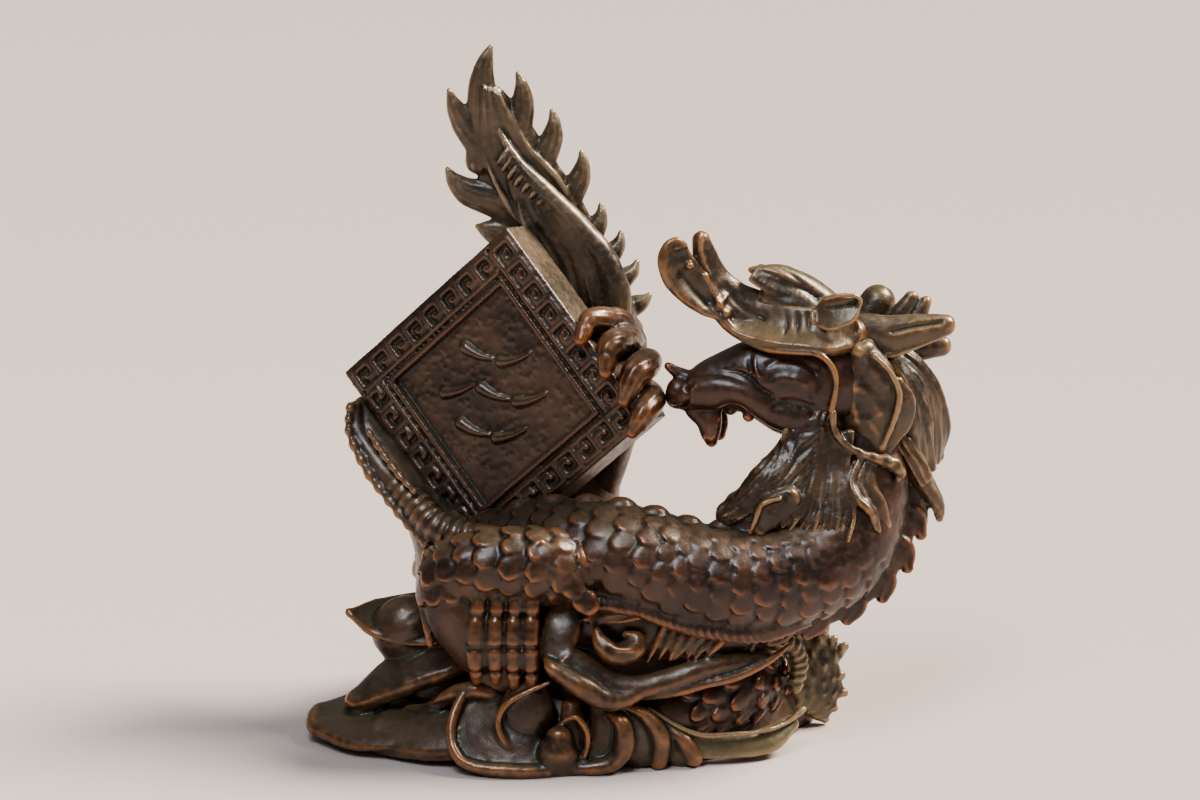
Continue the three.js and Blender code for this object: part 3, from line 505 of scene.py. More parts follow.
# The waves: dark faces that lean back, and the thick crests that curl round in front of them.
WAVE_FACES = [
    [[-7, -15.2, 7.4, 1.2, 1.2], [-6.8, -16, 4.4, 1.8, 1.6], [-7.2, -16.6, 1.4, 2.0, 1.6]],
    [[-3.4, -15.2, 7.8, 1.4, 1.3], [-3.0, -15.8, 4.6, 2.2, 1.6], [-3.6, -16.4, 1.4, 2.6, 1.6]],
    [[-1.0, -15.0, 8.0, 1.6, 1.5], [1.0, -15.4, 4.4, 2.6, 1.6], [1.2, -15.4, 1.4, 2.6, 1.6]],
    [[4.4, -14.4, 5.6, 1.2, 1.2], [5.8, -14.8, 3.4, 1.9, 1.3], [6.4, -15, 1.2, 2.2, 1.4]],
]
WAVE_CRESTS = [
    [
        [-8.4, -17.4, 6.0, 0.3], [-6.5, -17.9, 7.1, 0.4], [-5.2, -18.1, 5.6, 0.42],
        [-5.0, -18.1, 3.4, 0.42], [-5.7, -18.1, 1.3, 0.3],
    ],
    [
        [-2.2, -16.8, 7.0, 0.5], [-1.0, -17.5, 6.3, 1.0], [-0.5, -17.8, 4.5, 1.25],
        [-0.9, -18, 2.5, 1.25], [-2.4, -18.3, 1.2, 1.1], [-5.1, -18.5, 0.8, 0.8], [-7.6, -18.5, 0.8, 0.8],
    ],
    [[-0.5, -16.2, 7.9, 0.5], [2.0, -16.6, 6.8, 0.9], [3.8, -16.6, 3.8, 1.2], [3.6, -16.4, 1.0, 1.1]],
    [[4.7, -15.4, 5.0, 0.5], [6.6, -15.8, 3.2, 1.1], [7.8, -15.8, 1.2, 1.2]],
]


CLOUDS, CLOUD_RING, CLOUD_FIRST, CLOUD_LAST = 6, (20.5, 13.5), 8, 172
CURLS, CURL_TURN, CURL_START, CURL_GROWTH = 11, 0.75, 0.7, 0.36


def back_cloud(i, height):
    """The middle of a cloud of the base's back, on an oval, and the way it faces."""
    angle = math.radians(CLOUD_FIRST + i * (CLOUD_LAST - CLOUD_FIRST) / (CLOUDS - 1))
    long, deep = CLOUD_RING
    middle = np.array([-3 + long * math.cos(angle), deep * math.sin(angle), height])
    return middle, unit(np.array([math.cos(angle) / long, math.sin(angle) / deep, 0.0]))


def back_clouds():
    """Plain round clouds close the base at the back."""
    return [egg(back_cloud(i, 2 + 2.4 * (i % 2))[0], [6.4, 5.6, 7.2]) for i in range(CLOUDS)]


def cloud_spirals():
    """Each round cloud at the back is tooled with one spiral, like the curl of a wave."""
    spirals = []
    for i in range(CLOUDS):
        middle, outward = back_cloud(i, 4.2 + 1.6 * (i % 2))
        side = np.cross(UP, outward)
        curl = []
        for k in range(CURLS):
            radius = CURL_START + CURL_GROWTH * k
            step = side * radius * math.cos(k * CURL_TURN) + UP * radius * math.sin(k * CURL_TURN)
            curl.append([*(middle + step + outward * (6.2 - 0.055 * radius**2)), 0.42])
        spirals.append(drawn(curl, outward))
    return spirals


base_forms = [egg(middle, half) for middle, half in MOUND] + back_clouds() + cloud_spirals()
base_forms += [drawn(stations, facing, dished(0.5)) for facing, stations in PLATES]
base_forms += [drawn(APRON, (0, -0.5, 1), dished(0.4)), drawn(STEM)]
base_forms += [drawn(SPOON, (-0.25, -0.8, 0.55), dished(0.9))]
base_forms += all_drawn(
    [SPOON_RIM, SHOULDER, LOBE_EDGE, RIBBON_ROLL, RIBBON_KEEL, RECESS, BUD, KNOB]
)
base_forms += [egg(*LOBE), drawn(RIBBON_END, (-0.1, -0.9, 0.4), dished(0.3))]
base_forms += [drawn(RIBBON_FACE, (0, -0.75, 0.65))] + all_drawn(WAVE_FACES + WAVE_CRESTS)
base_forms += curtain(*LIDS, 4, 0.36, 2) + curtain(*CRINKLES, 7, 0.5, 3)
base_strokes = [
    ([[-38, -6, 3.4], [-33, -9, 4.4], [-26, -11, 5.6], [-21, -12, 7.4]], 0.5, -0.3),
    ([[-31, -4, 7.2], [-27, -6, 9.4], [-21, -7, 11.6]], 0.5, -0.3),
    ([[-2.9, -17, 16.8], [-1.6, -17.5, 15.6], [0.2, -17.5, 15.5]], 0.35, 0.3),
]
base = cast("cloud_base", base_forms, BASE_FINISH, base_strokes, most=160000)

# ---------------------------------------------------------------- the lip and fan under the coil
# A thin folded sheet of wave cups the coil from below, and a fan of ribs with a toothed edge stands out
# behind it. Both are part of the same casting, and greener than the rest.
COIL_LIP = [
    [1.6, -14.6, 5.8, 0.9, 0.8], [5.2, -14.9, 3.8, 1.9, 0.9], [9, -14.9, 2.3, 1.8, 0.9],
    [13, -14.3, 2.3, 1.7, 0.9], [17, -12.8, 2.5, 1.6, 0.9], [20, -10.6, 3.7, 1.0, 0.8],
]
LIP_RIM = [
    [2.2, -15.4, 7.4, 0.3], [5.4, -15.8, 5.5, 0.35], [8.4, -15.8, 4.1, 0.35], [12.4, -15.2, 3.9, 0.35],
    [16.4, -13.8, 3.9, 0.35], [19.4, -12, 4.4, 0.35], [21.2, -10.4, 5.4, 0.5],
]
RUFF = [
    [17.0, -9.5, 12.2, 1.0], [18.6, -9.2, 13.8, 1.1], [20.2, -8.8, 12.8, 1.0], [20.8, -8.4, 10.4, 1.0],
    [20.2, -8.8, 7.8, 0.9],
]
FAN_ROOT = np.array([20.5, -1.0, 3.5])
FAN_TURNS, FAN_REACHES = (-35, -6, 32, 55, 68, 88), (5.0, 6.0, 7.4, 10.4, 11.0, 10.6)
FAN_RIBS = 13
FAN_FINISH = bronze(
    "fan_bronze", (0.075, 0.062, 0.033), (0.36, 0.25, 0.14), (0.085, 0.092, 0.04), rub=0.6, green=0.8
)


def folded(folds, depth):
    """Folds that run straight across a sheet and deepen towards its edges."""
    def carve(place, angle):
        fold = np.sin(folds * place + 0.8 * np.cos(angle)) * np.abs(np.cos(angle)) ** 0.7
        return depth * fold - 0.3 * np.clip(np.sin(angle), 0, 1)
    return carve


def nicked(place, angle):
    """Slanting nicks across the front of a rib."""
    return 0.14 * np.sin(30 * place + 3 * np.cos(angle)) * np.clip(np.sin(angle), 0, 1)


def coil_fan():
    """Ribs that spread from behind the coil, with slanting nicks, each ending in a blunt tooth."""
    ribs = []
    for i in range(FAN_RIBS):
        turn = FAN_TURNS[0] + (FAN_TURNS[-1] - FAN_TURNS[0]) * i / (FAN_RIBS - 1)
        reach = np.interp(turn, FAN_TURNS, FAN_REACHES) * (1.0, 0.88, 0.95, 0.84)[i % 4]
        turn = math.radians(turn)
        way = np.array([math.cos(turn), 0, math.sin(turn)]) * reach
        wide = 1.5 if i % 2 else 1.2
        line = [
            [*(FAN_ROOT + way * 0.1), wide * 0.7, 1.9],
            [*(FAN_ROOT + way * 0.45 + UP * 0.5), wide, 1.6],
            [*(FAN_ROOT + way * 0.8 + UP * 0.3), wide * 0.9, 1.1],
            [*(FAN_ROOT + way), 0.5, 0.6],
        ]
        ribs.append(drawn(line, carve=nicked))
    return ribs


fan_forms = [drawn(COIL_LIP, (0.15, -0.85, 0.4), folded(9, 0.2)), drawn(LIP_RIM)] + coil_fan()
fan_forms += [drawn(RUFF, carve=lambda p, a: 0.3 * np.sin(60 * p + 2 * a))]
coil_trim = cast("coil_lip_and_fan", fan_forms, FAN_FINISH, most=90000)

# ---------------------------------------------------------------- the long body
# Neck, chest and coil in one round length, covered with overlapping scales that were pressed into the wax
# one by one. A spined fin runs down the outside of the neck, and low humps along the back.
BODY = [
    [26, -3, 46, 4.4], [28, -3.6, 39, 5.0], [27.8, -5.5, 31, 5.8], [24.3, -8.5, 25, 6.4],
    [17, -11, 22.6, 6.2], [8, -11.6, 22.9, 6.0], [0, -10.6, 24.8, 6.0], [-8, -7, 24.4, 6.0],
    [-16, -1, 21.5, 5.8], [-21, 6, 18, 5.6], [-18, 13, 14, 5.6], [-6, 15.5, 11, 5.8], [7, 14.5, 9.5, 6],
    [15, 8.5, 9, 6], [15.4, 0, 8.4, 6], [12, -8, 7.6, 5.4], [5, -11, 5, 4.6],
]
BREAST = [[22.1, -6, 39.3, 2.6], [21.2, -7.2, 35, 3.0], [17.9, -8.4, 31.1, 4.1], [14.7, -9.2, 27.6, 3.8]]
FIN_TURNS = [
    (0.1, (1, 0.25, -0.1)),
    (0.17, (0.92, 0.1, -0.45)),
    (0.25, (0.45, 0.1, -0.9)),
    (0.33, (0.15, -0.1, -1)),
]
SPINES = 9
HUMPS, FIRST_HUMP, LAST_HUMP = 13, 0.29, 0.66  # the two places are along the body, from 0 to 1


def body_radius(t):
    return np.interp(t * (len(BODY) - 1), np.arange(len(BODY)), [s[3] for s in BODY])


def fin_point(t, height):
    """A point of the fin, at a place along the body and a height above its skin."""
    places = [place for place, _ in FIN_TURNS]
    out = unit(np.array([np.interp(t, places, [way[k] for _, way in FIN_TURNS]) for k in range(3)]))
    return point_on(BODY, t) + out * (body_radius(t) + height)


def neck_fin():
    first, last = FIN_TURNS[0][0], FIN_TURNS[-1][0]
    web = [[*fin_point(first + (last - first) * i / 6, -0.4), 2.6, 0.9] for i in range(7)]
    parts = [drawn(web)]
    for i in range(SPINES):
        t = first + (last - first) * (i + 0.3) / SPINES
        reach = 3.4 + (2.3 - 3.4) * i / (SPINES - 1)
        root, middle, tip = fin_point(t, -1.5), fin_point(t, reach / 2), fin_point(t + 0.012, reach)
        spine = [[*root, 1.7, 1.1], [*middle, 1.5, 1.0], [*tip, 0.7, 0.6]]
        parts.append(drawn(spine, carve=lambda p, a: 0.16 * np.cos(5 * a)))
    return parts


def crest_humps():
    humps = []
    for i in range(HUMPS):
        t = FIRST_HUMP + (LAST_HUMP - FIRST_HUMP) * i / (HUMPS - 1)
        x, y, z = point_on(BODY, t)
        humps.append(egg([x, y + 0.8, z + body_radius(t) - 0.7], [2.2, 1.5, 1.9]))
    return humps


def new_tree(name, **inputs):
    """An empty Geometry Nodes tree, with number inputs of these names and a material input, Finish, and
    the outputs of the node that hands those inputs on."""
    tree = bpy.data.node_groups.new(name, "GeometryNodeTree")
    tree.is_modifier = True
    tree.interface.new_socket("Geometry", in_out="INPUT", socket_type="NodeSocketGeometry")
    tree.interface.new_socket("Geometry", in_out="OUTPUT", socket_type="NodeSocketGeometry")
    for key, value in inputs.items():
        kind = "NodeSocketInt" if isinstance(value, int) else "NodeSocketFloat"
        tree.interface.new_socket(key, in_out="INPUT", socket_type=kind).default_value = value
    tree.interface.new_socket("Finish", in_out="INPUT", socket_type="NodeSocketMaterial")
    return tree, tree.nodes.new("NodeGroupInput").outputs


def finished(tree, given, shape):
    """Ends a tree: instances made real, the finish set, and the result put out."""
    real = wired(tree, "GeometryNodeRealizeInstances", {"Geometry": shape}).outputs["Geometry"]
    inputs = {"Geometry": real, "Material": given["Finish"]}
    dressed = wired(tree, "GeometryNodeSetMaterial", inputs).outputs["Geometry"]
    wired(tree, "NodeGroupOutput", {"Geometry": dressed})
    return tree


def scale_tree():
    """One scale on each point of a mesh: its face towards `face`, and its free end towards `lie`."""
    tree, given = new_tree(
        "overlapping_scales", Length=3.0, Width=2.6, Thickness=0.7, Lift=0.2, Unevenness=0.1, Seed=4
    )

    def named(attribute, kind="FLOAT_VECTOR"):
        node = wired(tree, "GeometryNodeInputNamedAttribute", {"Name": attribute}, data_type=kind)
        return node.outputs["Attribute"]

    def worked(operation, a, b):
        return wired(tree, "ShaderNodeMath", {0: a, 1: b}, operation=operation).outputs[0]

    ball = wired(tree, "GeometryNodeMeshIcoSphere", {"Radius": 0.5, "Subdivisions": 2})
    sides = {"X": given["Width"], "Y": given["Length"], "Z": given["Thickness"]}
    sizes = wired(tree, "ShaderNodeCombineXYZ", sides).outputs["Vector"]
    inputs = {"Geometry": ball.outputs["Mesh"], "Scale": sizes}
    shaped = wired(tree, "GeometryNodeTransform", inputs)
    inputs = {"Vector": named("face")}
    face = wired(tree, "FunctionNodeAlignRotationToVector", inputs, axis="Z")
    inputs = {"Rotation": face.outputs["Rotation"], "Vector": named("lie")}
    lie = wired(tree, "FunctionNodeAlignRotationToVector", inputs, axis="Y", pivot_axis="Z")
    tilt = wired(tree, "ShaderNodeCombineXYZ", {"X": given["Lift"]}).outputs["Vector"]
    inputs = {"Rotation": lie.outputs["Rotation"], "Rotate By": tilt}
    turned = wired(tree, "FunctionNodeRotateRotation", inputs, rotation_space="LOCAL")
    lower = worked("SUBTRACT", 1.0, given["Unevenness"])
    upper = worked("ADD", 1.0, given["Unevenness"])
    inputs = {2: lower, 3: upper, "Seed": given["Seed"]}
    spread = wired(tree, "FunctionNodeRandomValue", inputs, data_type="FLOAT")
    inputs = {
        "Points": given["Geometry"],
        "Instance": shaped.outputs["Geometry"],
        "Rotation": turned.outputs["Rotation"],
        "Scale": worked("MULTIPLY", spread.outputs[1], named("size", "FLOAT")),
    }
    spots = wired(tree, "GeometryNodeInstanceOnPoints", inputs)
    return finished(tree, given, spots.outputs["Instances"])


def grown(tree, mesh, **sizes):
    """What a Geometry Nodes tree makes on `mesh`, with its named inputs set, as points and triangles."""
    ob = placed("work", mesh)
    modifier = ob.modifiers.new("grow", "NODES")
    modifier.node_group = tree
    for item in tree.interface.items_tree:
        if item.item_type == "SOCKET" and item.in_out == "INPUT" and item.name in sizes:
            modifier[item.identifier] = sizes[item.name]
    made = evaluated(ob)
    made.calc_loop_triangles()
    triangles = np.empty(len(made.loop_triangles) * 3, np.int32)
    made.loop_triangles.foreach_get("vertices", triangles)
    points = read_points(made)
    ob.modifiers.remove(modifier)
    bpy.data.objects.remove(ob)
    bpy.data.meshes.remove(made)
    return points, triangles.reshape(-1, 3)


def scale_spots(name, spots):
    """A mesh of loose points, each (place, face, lie, size), that carries what the scales need to know."""
    mesh = bpy.data.meshes.new(name)
    mesh.from_pydata([tuple(spot[0]) for spot in spots], [], [])
    for index, key in ((1, "face"), (2, "lie")):
        values = np.array([spot[index] for spot in spots], np.float32)
        mesh.attributes.new(key, "FLOAT_VECTOR", "POINT").data.foreach_set("vector", values.ravel())
    sizes = np.array([spot[3] for spot in spots], np.float32)
    mesh.attributes.new("size", "FLOAT", "POINT").data.foreach_set("value", sizes)
    return mesh


def scales_round(stations, first, last, row, pitch, arc, size=1.0, facing=UP, droop=0.0):
    """Staggered rows of scale places round a drawn form, over an arc of angles in degrees."""
    chance = np.random.default_rng(len(stations))
    centres = [s[:3] for s in stations]
    line = spline(centres, np.linspace(first, last, 200))
    length = np.linalg.norm(np.diff(line, axis=0), axis=1).sum()
    rows = max(2, round(length / row))
    spots = []
    for i in range(rows):
        t = first + (last - first) * (i + 0.5) / rows
        centre = point_on(stations, t)
        wide, thick = spline([[s[3], s[-1]] for s in stations], np.array([t]))[0]
        ahead = heading(centres, np.array([t]))[0]
        out = unit(facing - ahead * (ahead @ facing))
        across = np.cross(ahead, out)
        low, high = arc
        count = max(2, round(math.radians(high - low) * (wide + thick) / 2 / pitch))
        for k in range(count):
            angle = math.radians(low + (high - low) * (k + (0.5 if i % 2 else 0.0)) / count)
            face = unit(across * math.cos(angle) / wide + out * math.sin(angle) / thick)
            place = centre + across * wide * math.cos(angle) + out * thick * math.sin(angle)
            lie = unit(ahead - droop * UP + chance.normal(0, 0.12, 3))
            spots.append((place, face, lie, size * chance.uniform(0.85, 1.12)))
    return spots


BODY_FINISH = bronze(
    "body_bronze", (0.034, 0.0155, 0.009), (0.24, 0.095, 0.036), (0.045, 0.045, 0.022),
    rub=0.75, green=0.5, bloom_and_top_light=0.25
)
scales = scale_tree()
body_scales = grown(
    scales,
    scale_spots("body_rows", scales_round(BODY, 0.09, 0.56, 2.3, 2.5, (-60, 250), droop=0.7)),
    Length=3.9, Width=3.1, Thickness=0.62, Lift=0.15, Unevenness=0.08, Seed=4, Finish=BODY_FINISH,
)
coil_scales = grown(
    scales,
    scale_spots("coil_rows", scales_round(BODY, 0.56, 0.985, 2.4, 2.6, (-70, 230))),
    Length=3.8, Width=2.3, Thickness=0.8, Lift=0.2, Unevenness=0.1, Seed=9, Finish=BODY_FINISH,
)
body_forms = [drawn(BODY, UP), drawn(BREAST)] + crest_humps() + neck_fin() + [body_scales]
HEM_TOP = [[-6, -14.4, 20.8], [0, -15.6, 20.6], [7, -15.8, 18.6], [15, -15.4, 17.6], [20.6, -13.4, 18.8]]
HEM_FOOT = [
    [-5.4, -14.6, 19.6], [0.6, -15.8, 19.0], [7.4, -16, 16.6], [15.4, -15.4, 15.6], [21.4, -13, 17.0],
]
FRINGE_POINTS = 34


def hem_fringe():
    """Fine points of fin hang all along the underside of the chest."""
    points = []
    for place in np.linspace(0, 1, FRINGE_POINTS):
        top, foot = point_on(HEM_TOP, place), point_on(HEM_FOOT, place)
        size = 0.5 + 0.12 * math.sin(40 * place)
        middle, tip = (top + foot) / 2 - [0.1, 0.3, 0], foot + [0.5, 0, 0]
        points.append(drawn([[*top, size, 0.6], [*middle, size, 0.5], [*tip, 0.22]]))
    return points


body = cast("dragon_body", body_forms + hem_fringe() + [coil_scales], BODY_FINISH, most=199000)

# ---------------------------------------------------------------- the tail
# The tail rises behind the tablet and opens into a flame of tongues round a thick leaf of wax, toothed down
# its right-hand edge. A rounded ridge with a nicked edge runs down the front of the leaf.
TAIL = [
    [-5, 11, 3, 5], [-6, 11, 16, 4.8], [-5.4, 11, 28, 4.5], [-2.6, 11, 38, 4.3], [-2.4, 11.4, 46, 4.2],
    [-4.8, 12, 53, 4.2], [-8.8, 13, 59.6, 3.6], [-12.6, 13.4, 65.6, 2.5], [-15, 13.6, 70.6, 1.4],
    [-16.6, 13.6, 75, 0.7],
]
FLAME_Y = 14.2
FLAME_LEAF = [
    [-5, FLAME_Y, 54, 3.6, 1.3],
    [-10.8, FLAME_Y, 61.5, 5.4, 1.4],
    [-13.8, FLAME_Y, 67, 4.9, 1.4],
    [-15.6, FLAME_Y, 72, 3.7, 1.3],
    [-17.2, FLAME_Y, 76.5, 2.0, 1.2],
]
# Each tongue: root x and z, tip x and z, half width at the root, and how far its middle bows right.
TONGUES = [
    [-17.8, 73, -16.9, 82.7, 2.2, -0.7], [-17.2, 69.5, -22.1, 77.3, 2.2, -0.6],
    [-16.4, 63.5, -22.4, 67.4, 2.3, -1.0], [-14.4, 58.6, -18.8, 60.2, 2.2, 0],
    [-13.9, 72, -13.6, 79.4, 1.9, 0.7], [-10.9, 68, -9.4, 74.7, 1.8, 0.7],
    [-7.6, 63.4, -5.8, 69.6, 1.8, 0.7], [-4.6, 59, -3.4, 62.9, 1.5, 0.4],
    [-2.2, 56.4, -0.9, 59.4, 1.3, 0.3], [-0.6, 53.4, 1.1, 55.7, 1.3, 0.3],
    [0.4, 49.8, 2.7, 51.4, 1.4, 0.2],
]
TAIL_RIDGE = [
    [-15.9, 12.6, 72.6, 0.3, 0.5], [-13.8, 11.6, 69.0, 0.8, 0.9], [-10.2, 10.4, 65.3, 1.2, 1.2],
    [-6.4, 9.6, 61.4, 1.5, 1.5], [-3.2, 8.8, 57.4, 1.7, 1.6], [-1.6, 8.2, 53.4, 1.8, 1.7],
    [-1.4, 7.8, 49.0, 1.8, 1.6],
]
RIDGE_NOTCHES = 22
TAIL_HAIR_LEFT = [[-13.6, 12.2, 66.4], [-12.4, 10.6, 61.6], [-10.0, 9.2, 56.4], [-8.4, 8.4, 51.6]]
TAIL_HAIR_RIGHT = [[-12.4, 11.8, 67.2], [-8.6, 9.8, 62.6], [-5.0, 8.4, 57.2], [-3.6, 7.6, 51.0]]
LEAF_HAIR_LEFT = [[-8.2, 13.0, 56.6], [-14.6, 12.8, 63.0], [-17.4, 12.8, 69.4], [-17.9, 12.8, 78.0]]
LEAF_HAIR_RIGHT = [[-5.2, 13.0, 58.4], [-8.8, 12.8, 66.2], [-12.4, 12.8, 70.4], [-15.6, 12.8, 77.0]]


def combed(count, depth, sway=0.25):
    """Fine strands side by side that waver a little, with sharp grooves between them."""
    def carve(place, angle):
        swung = angle + sway * np.sin(5 * place + 1.3 * np.sin(3 * angle))
        fine = np.abs(np.sin(count * swung / 2))
        return depth * (fine + 0.5 * np.abs(np.sin(count * swung * 1.37 + 0.6)) - 1.0)
    return carve


def tongue(root_x, root_z, tip_x, tip_z, wide, bow):
    root = np.array([root_x, FLAME_Y, root_z])
    along = np.array([tip_x - root_x, 0, tip_z - root_z])
    aside = unit(np.array([along[2], 0, -along[0]]))

    def station(share, sideways, *size):
        return [*(root + along * share + aside * sideways), *size]

    line = [
        station(-0.5, 0, wide * 0.9, 1.5),
        station(0, 0, wide, 1.5),
        station(0.5, bow, wide * 0.8, 1.2),
        station(0.82, bow * 0.7, wide * 0.45, 0.8),
        station(1, 0, 0.35, 0.35),
    ]
    return drawn(line, carve=lambda p, a: 0.16 * (np.abs(np.sin(5 * a + 0.5)) - 0.8))


TAIL_FINISH = bronze(
    "tail_bronze", (0.062, 0.044, 0.026), (0.4, 0.3, 0.19), (0.075, 0.072, 0.036),
    rub=0.55, green=0.6, bloom_and_top_light=0.5
)


def ridge_notches():
    """Down the left-hand side of the ridge the wax was nicked into a row of small pointed curls."""
    curls = []
    for place in np.linspace(0.12, 0.97, RIDGE_NOTCHES):
        x, y, z = point_on(TAIL_RIDGE, place)
        half = float(np.interp(place, [0, 1], [0.5, 1.0]))
        away = 0.6 + 1.5 * place
        curls.append(drawn([
            [x - away * 0.4, y - 0.2, z + 0.5, half * 0.7],
            [x - away, y - 0.3, z - 0.2, half * 0.8, 0.7],
            [x - away - 0.7, y + 0.2, z - 1.3, 0.3],
        ]))
    return curls


tail_forms = [drawn(TAIL), drawn(FLAME_LEAF, carve=combed(16, 0.22)), drawn(TAIL_RIDGE)]
tail_forms += ridge_notches() + [tongue(*entry) for entry in TONGUES]
tail_forms += curtain(TAIL_HAIR_LEFT, TAIL_HAIR_RIGHT, 8, 0.75, 6)
tail_forms += curtain(LEAF_HAIR_LEFT, LEAF_HAIR_RIGHT, 9, 0.5, 8)
tail = cast("tail_flame", tail_forms, TAIL_FINISH, most=130000, skin=0.9 * SKIN)

# ---------------------------------------------------------------- the tablet
# A thick square tile, stood on one corner: a key-fret border in low relief, a plain rib inside it, and a
# sunk, stippled field with raised brush-like marks that spell nothing.
SIDE, THICK, FIELD, SUNK = 29.5, 6.0, 19.4, 0.8
FIELD_GRAINS = 520
TABLET_MIDDLE = (-15.4, 4.4, 41.2)
YAW, LEAN, ROLL = 26, 8, 46.5
KEYS, PITCH, BAND, MARGIN = 8, 3.1, 3.2, 0.6
MARK_ROWS, MARK_ACROSS, MARK_DOWN, MARK_HALF = (2, 3, 2), 5.0, 4.7, 2.0
UPRIGHT = Matrix.Translation(TABLET_MIDDLE) @ Matrix.Rotation(math.radians(-YAW), 4, "Z")
UPRIGHT = UPRIGHT @ Matrix.Rotation(math.radians(-LEAN), 4, "X")
TURNED = UPRIGHT @ Matrix.Rotation(math.radians(ROLL), 4, "Y")
FACE = -THICK / 2


def moved(form, place):
    points, triangles = form
    turn = np.array(place)
    return points @ turn[:3, :3].T + turn[:3, 3], triangles


def block(low, high):
    """A plain block between two corners."""
    low, high = np.array(low, float), np.array(high, float)
    corners = np.array([[x, y, z] for x in (0, 1) for y in (0, 1) for z in (0, 1)], float)
    quads = [(0, 1, 3, 2), (4, 6, 7, 5), (0, 4, 5, 1), (2, 3, 7, 6), (0, 2, 6, 4), (1, 5, 7, 3)]
    triangles = [t for a, b, c, d in quads for t in ((a, b, c), (a, c, d))]
    return low + corners * (high - low), np.array(triangles)


def ridge_tree():
    """A rounded ridge along every chain of edges in a mesh."""
    tree, given = new_tree("rounded_ridges", Radius=0.3, Step=0.3)
    chain = wired(tree, "GeometryNodeMeshToCurve", {"Mesh": given["Geometry"]}).outputs["Curve"]
    inputs = {"Curve": chain, "Length": given["Step"]}
    even = wired(tree, "GeometryNodeResampleCurve", inputs, mode="LENGTH")
    inputs = {"Resolution": 8, "Radius": given["Radius"]}
    ring = wired(tree, "GeometryNodeCurvePrimitiveCircle", inputs)
    inputs = {
        "Curve": even.outputs["Curve"],
        "Profile Curve": ring.outputs["Curve"],
        "Fill Caps": True,
    }
    solid = wired(tree, "GeometryNodeCurveToMesh", inputs)
    return finished(tree, given, solid.outputs["Mesh"])


def chains(name, lines):
    """A mesh of loose edges, one chain for each line of points."""
    mesh = bpy.data.meshes.new(name)
    points, edges = [], []
    for line in lines:
        start = len(points)
        points += [tuple(p) for p in line]
        edges += [(start + k, start + k + 1) for k in range(len(line) - 1)]
    mesh.from_pydata(points, edges, [])
    return mesh


def fret_lines():
    """The border's keys: each a line that hooks round on itself, in rows along the four sides."""
    low, high = -0.42 * BAND, 0.42 * BAND
    turn_in = 0.1 * BAND
    hook = [
        (-0.42, low),
        (-0.42, high),
        (0.36, high),
        (0.36, -turn_in),
        (-0.02, -turn_in),
        (-0.02, turn_in),
    ]
    row = (SIDE - BAND) / 2 - MARGIN
    lines = []
    for turns in range(4):
        turn = Matrix.Rotation(turns * math.pi / 2, 4, "Y")
        for key in range(KEYS):
            along = (key - KEYS / 2) * PITCH
            places = [Vector((along + x * PITCH, FACE + 0.12, row + z)) for x, z in hook]
            lines.append([turn @ place for place in places])
        ends = (-KEYS / 2 * PITCH - 1.3, (KEYS / 2 - 1) * PITCH + 1.2)
        lines.append([turn @ Vector((x, FACE + 0.12, row + low)) for x in ends])
    return lines


def tablet_blocks():
    half, inner = SIDE / 2, FIELD / 2
    rim, rib = 0.5, 0.7
    parts = [block((-half, FACE + SUNK, -half), (half, -FACE, half))]
    for turns in range(4):
        turn = Matrix.Rotation(turns * math.pi / 2, 4, "Y")
        border = block((-half, FACE + 0.42, inner + 0.1), (half, FACE + 1.4, half))
        edge = block((-half, FACE, half - rim), (half, FACE + 1.2, half))
        ridge = block((-inner - rib, FACE - 0.3, inner), (inner + rib, FACE + 1.2, inner + rib))
        parts += [moved(form, turn) for form in (border, edge, ridge)]
    return parts


def marks():
    """Brush-like strokes in rows, thick at one end and drawn out to a point at the other."""
    lines = []
    for row, columns in enumerate(MARK_ROWS):
        for column in range(columns):
            x = (column - (columns - 1) / 2) * MARK_ACROSS
            z = (1 - row) * MARK_DOWN
            slope = 0.8 if (row + column) % 2 else -0.5
            line = []
            for s in (-1, -0.4, 0.3, 1):
                rise = z + slope * s + 0.3 * s * s
                place = UPRIGHT @ Vector((x + s * MARK_HALF, FACE + SUNK - 0.1, rise))
                line.append([*place, 0.5 - 0.28 * s, 0.5 - 0.15 * s])
            lines.append(line)
    return all_drawn(lines)


def stipple():
    """Small round grains all over the sunk field, set out by a fixed seed."""
    chance = np.random.default_rng(7)
    spots = []
    for x, z in chance.uniform(-FIELD / 2 + 0.4, FIELD / 2 - 0.4, (FIELD_GRAINS, 2)):
        spots.append(((x, FACE + SUNK + 0.06, z), (0, -1, 0), (1, 0, 0), chance.uniform(0.6, 1.3)))
    return spots


TABLET_FINISH = bronze(
    "tablet_bronze", (0.045, 0.026, 0.015), (0.11, 0.05, 0.025), (0.06, 0.05, 0.026),
    rub=0.8, green=0.8, crease_shade=0.5, bloom_and_top_light=0.8
)
ridges = ridge_tree()
fret = grown(ridges, chains("fret", fret_lines()), Radius=0.42, Step=0.25, Finish=TABLET_FINISH)
grains = grown(
    scales, scale_spots("stipple", stipple()), Length=0.55, Width=0.55, Thickness=0.35, Lift=0.0,
    Unevenness=0.2, Seed=3, Finish=TABLET_FINISH,
)
tablet_forms = [moved(form, TURNED) for form in tablet_blocks() + [fret, grains]] + marks()
tablet = cast(
    "tablet", tablet_forms, TABLET_FINISH, soften=2, most=150000, skin=0.8 * SKIN, uneven=0.6,
)

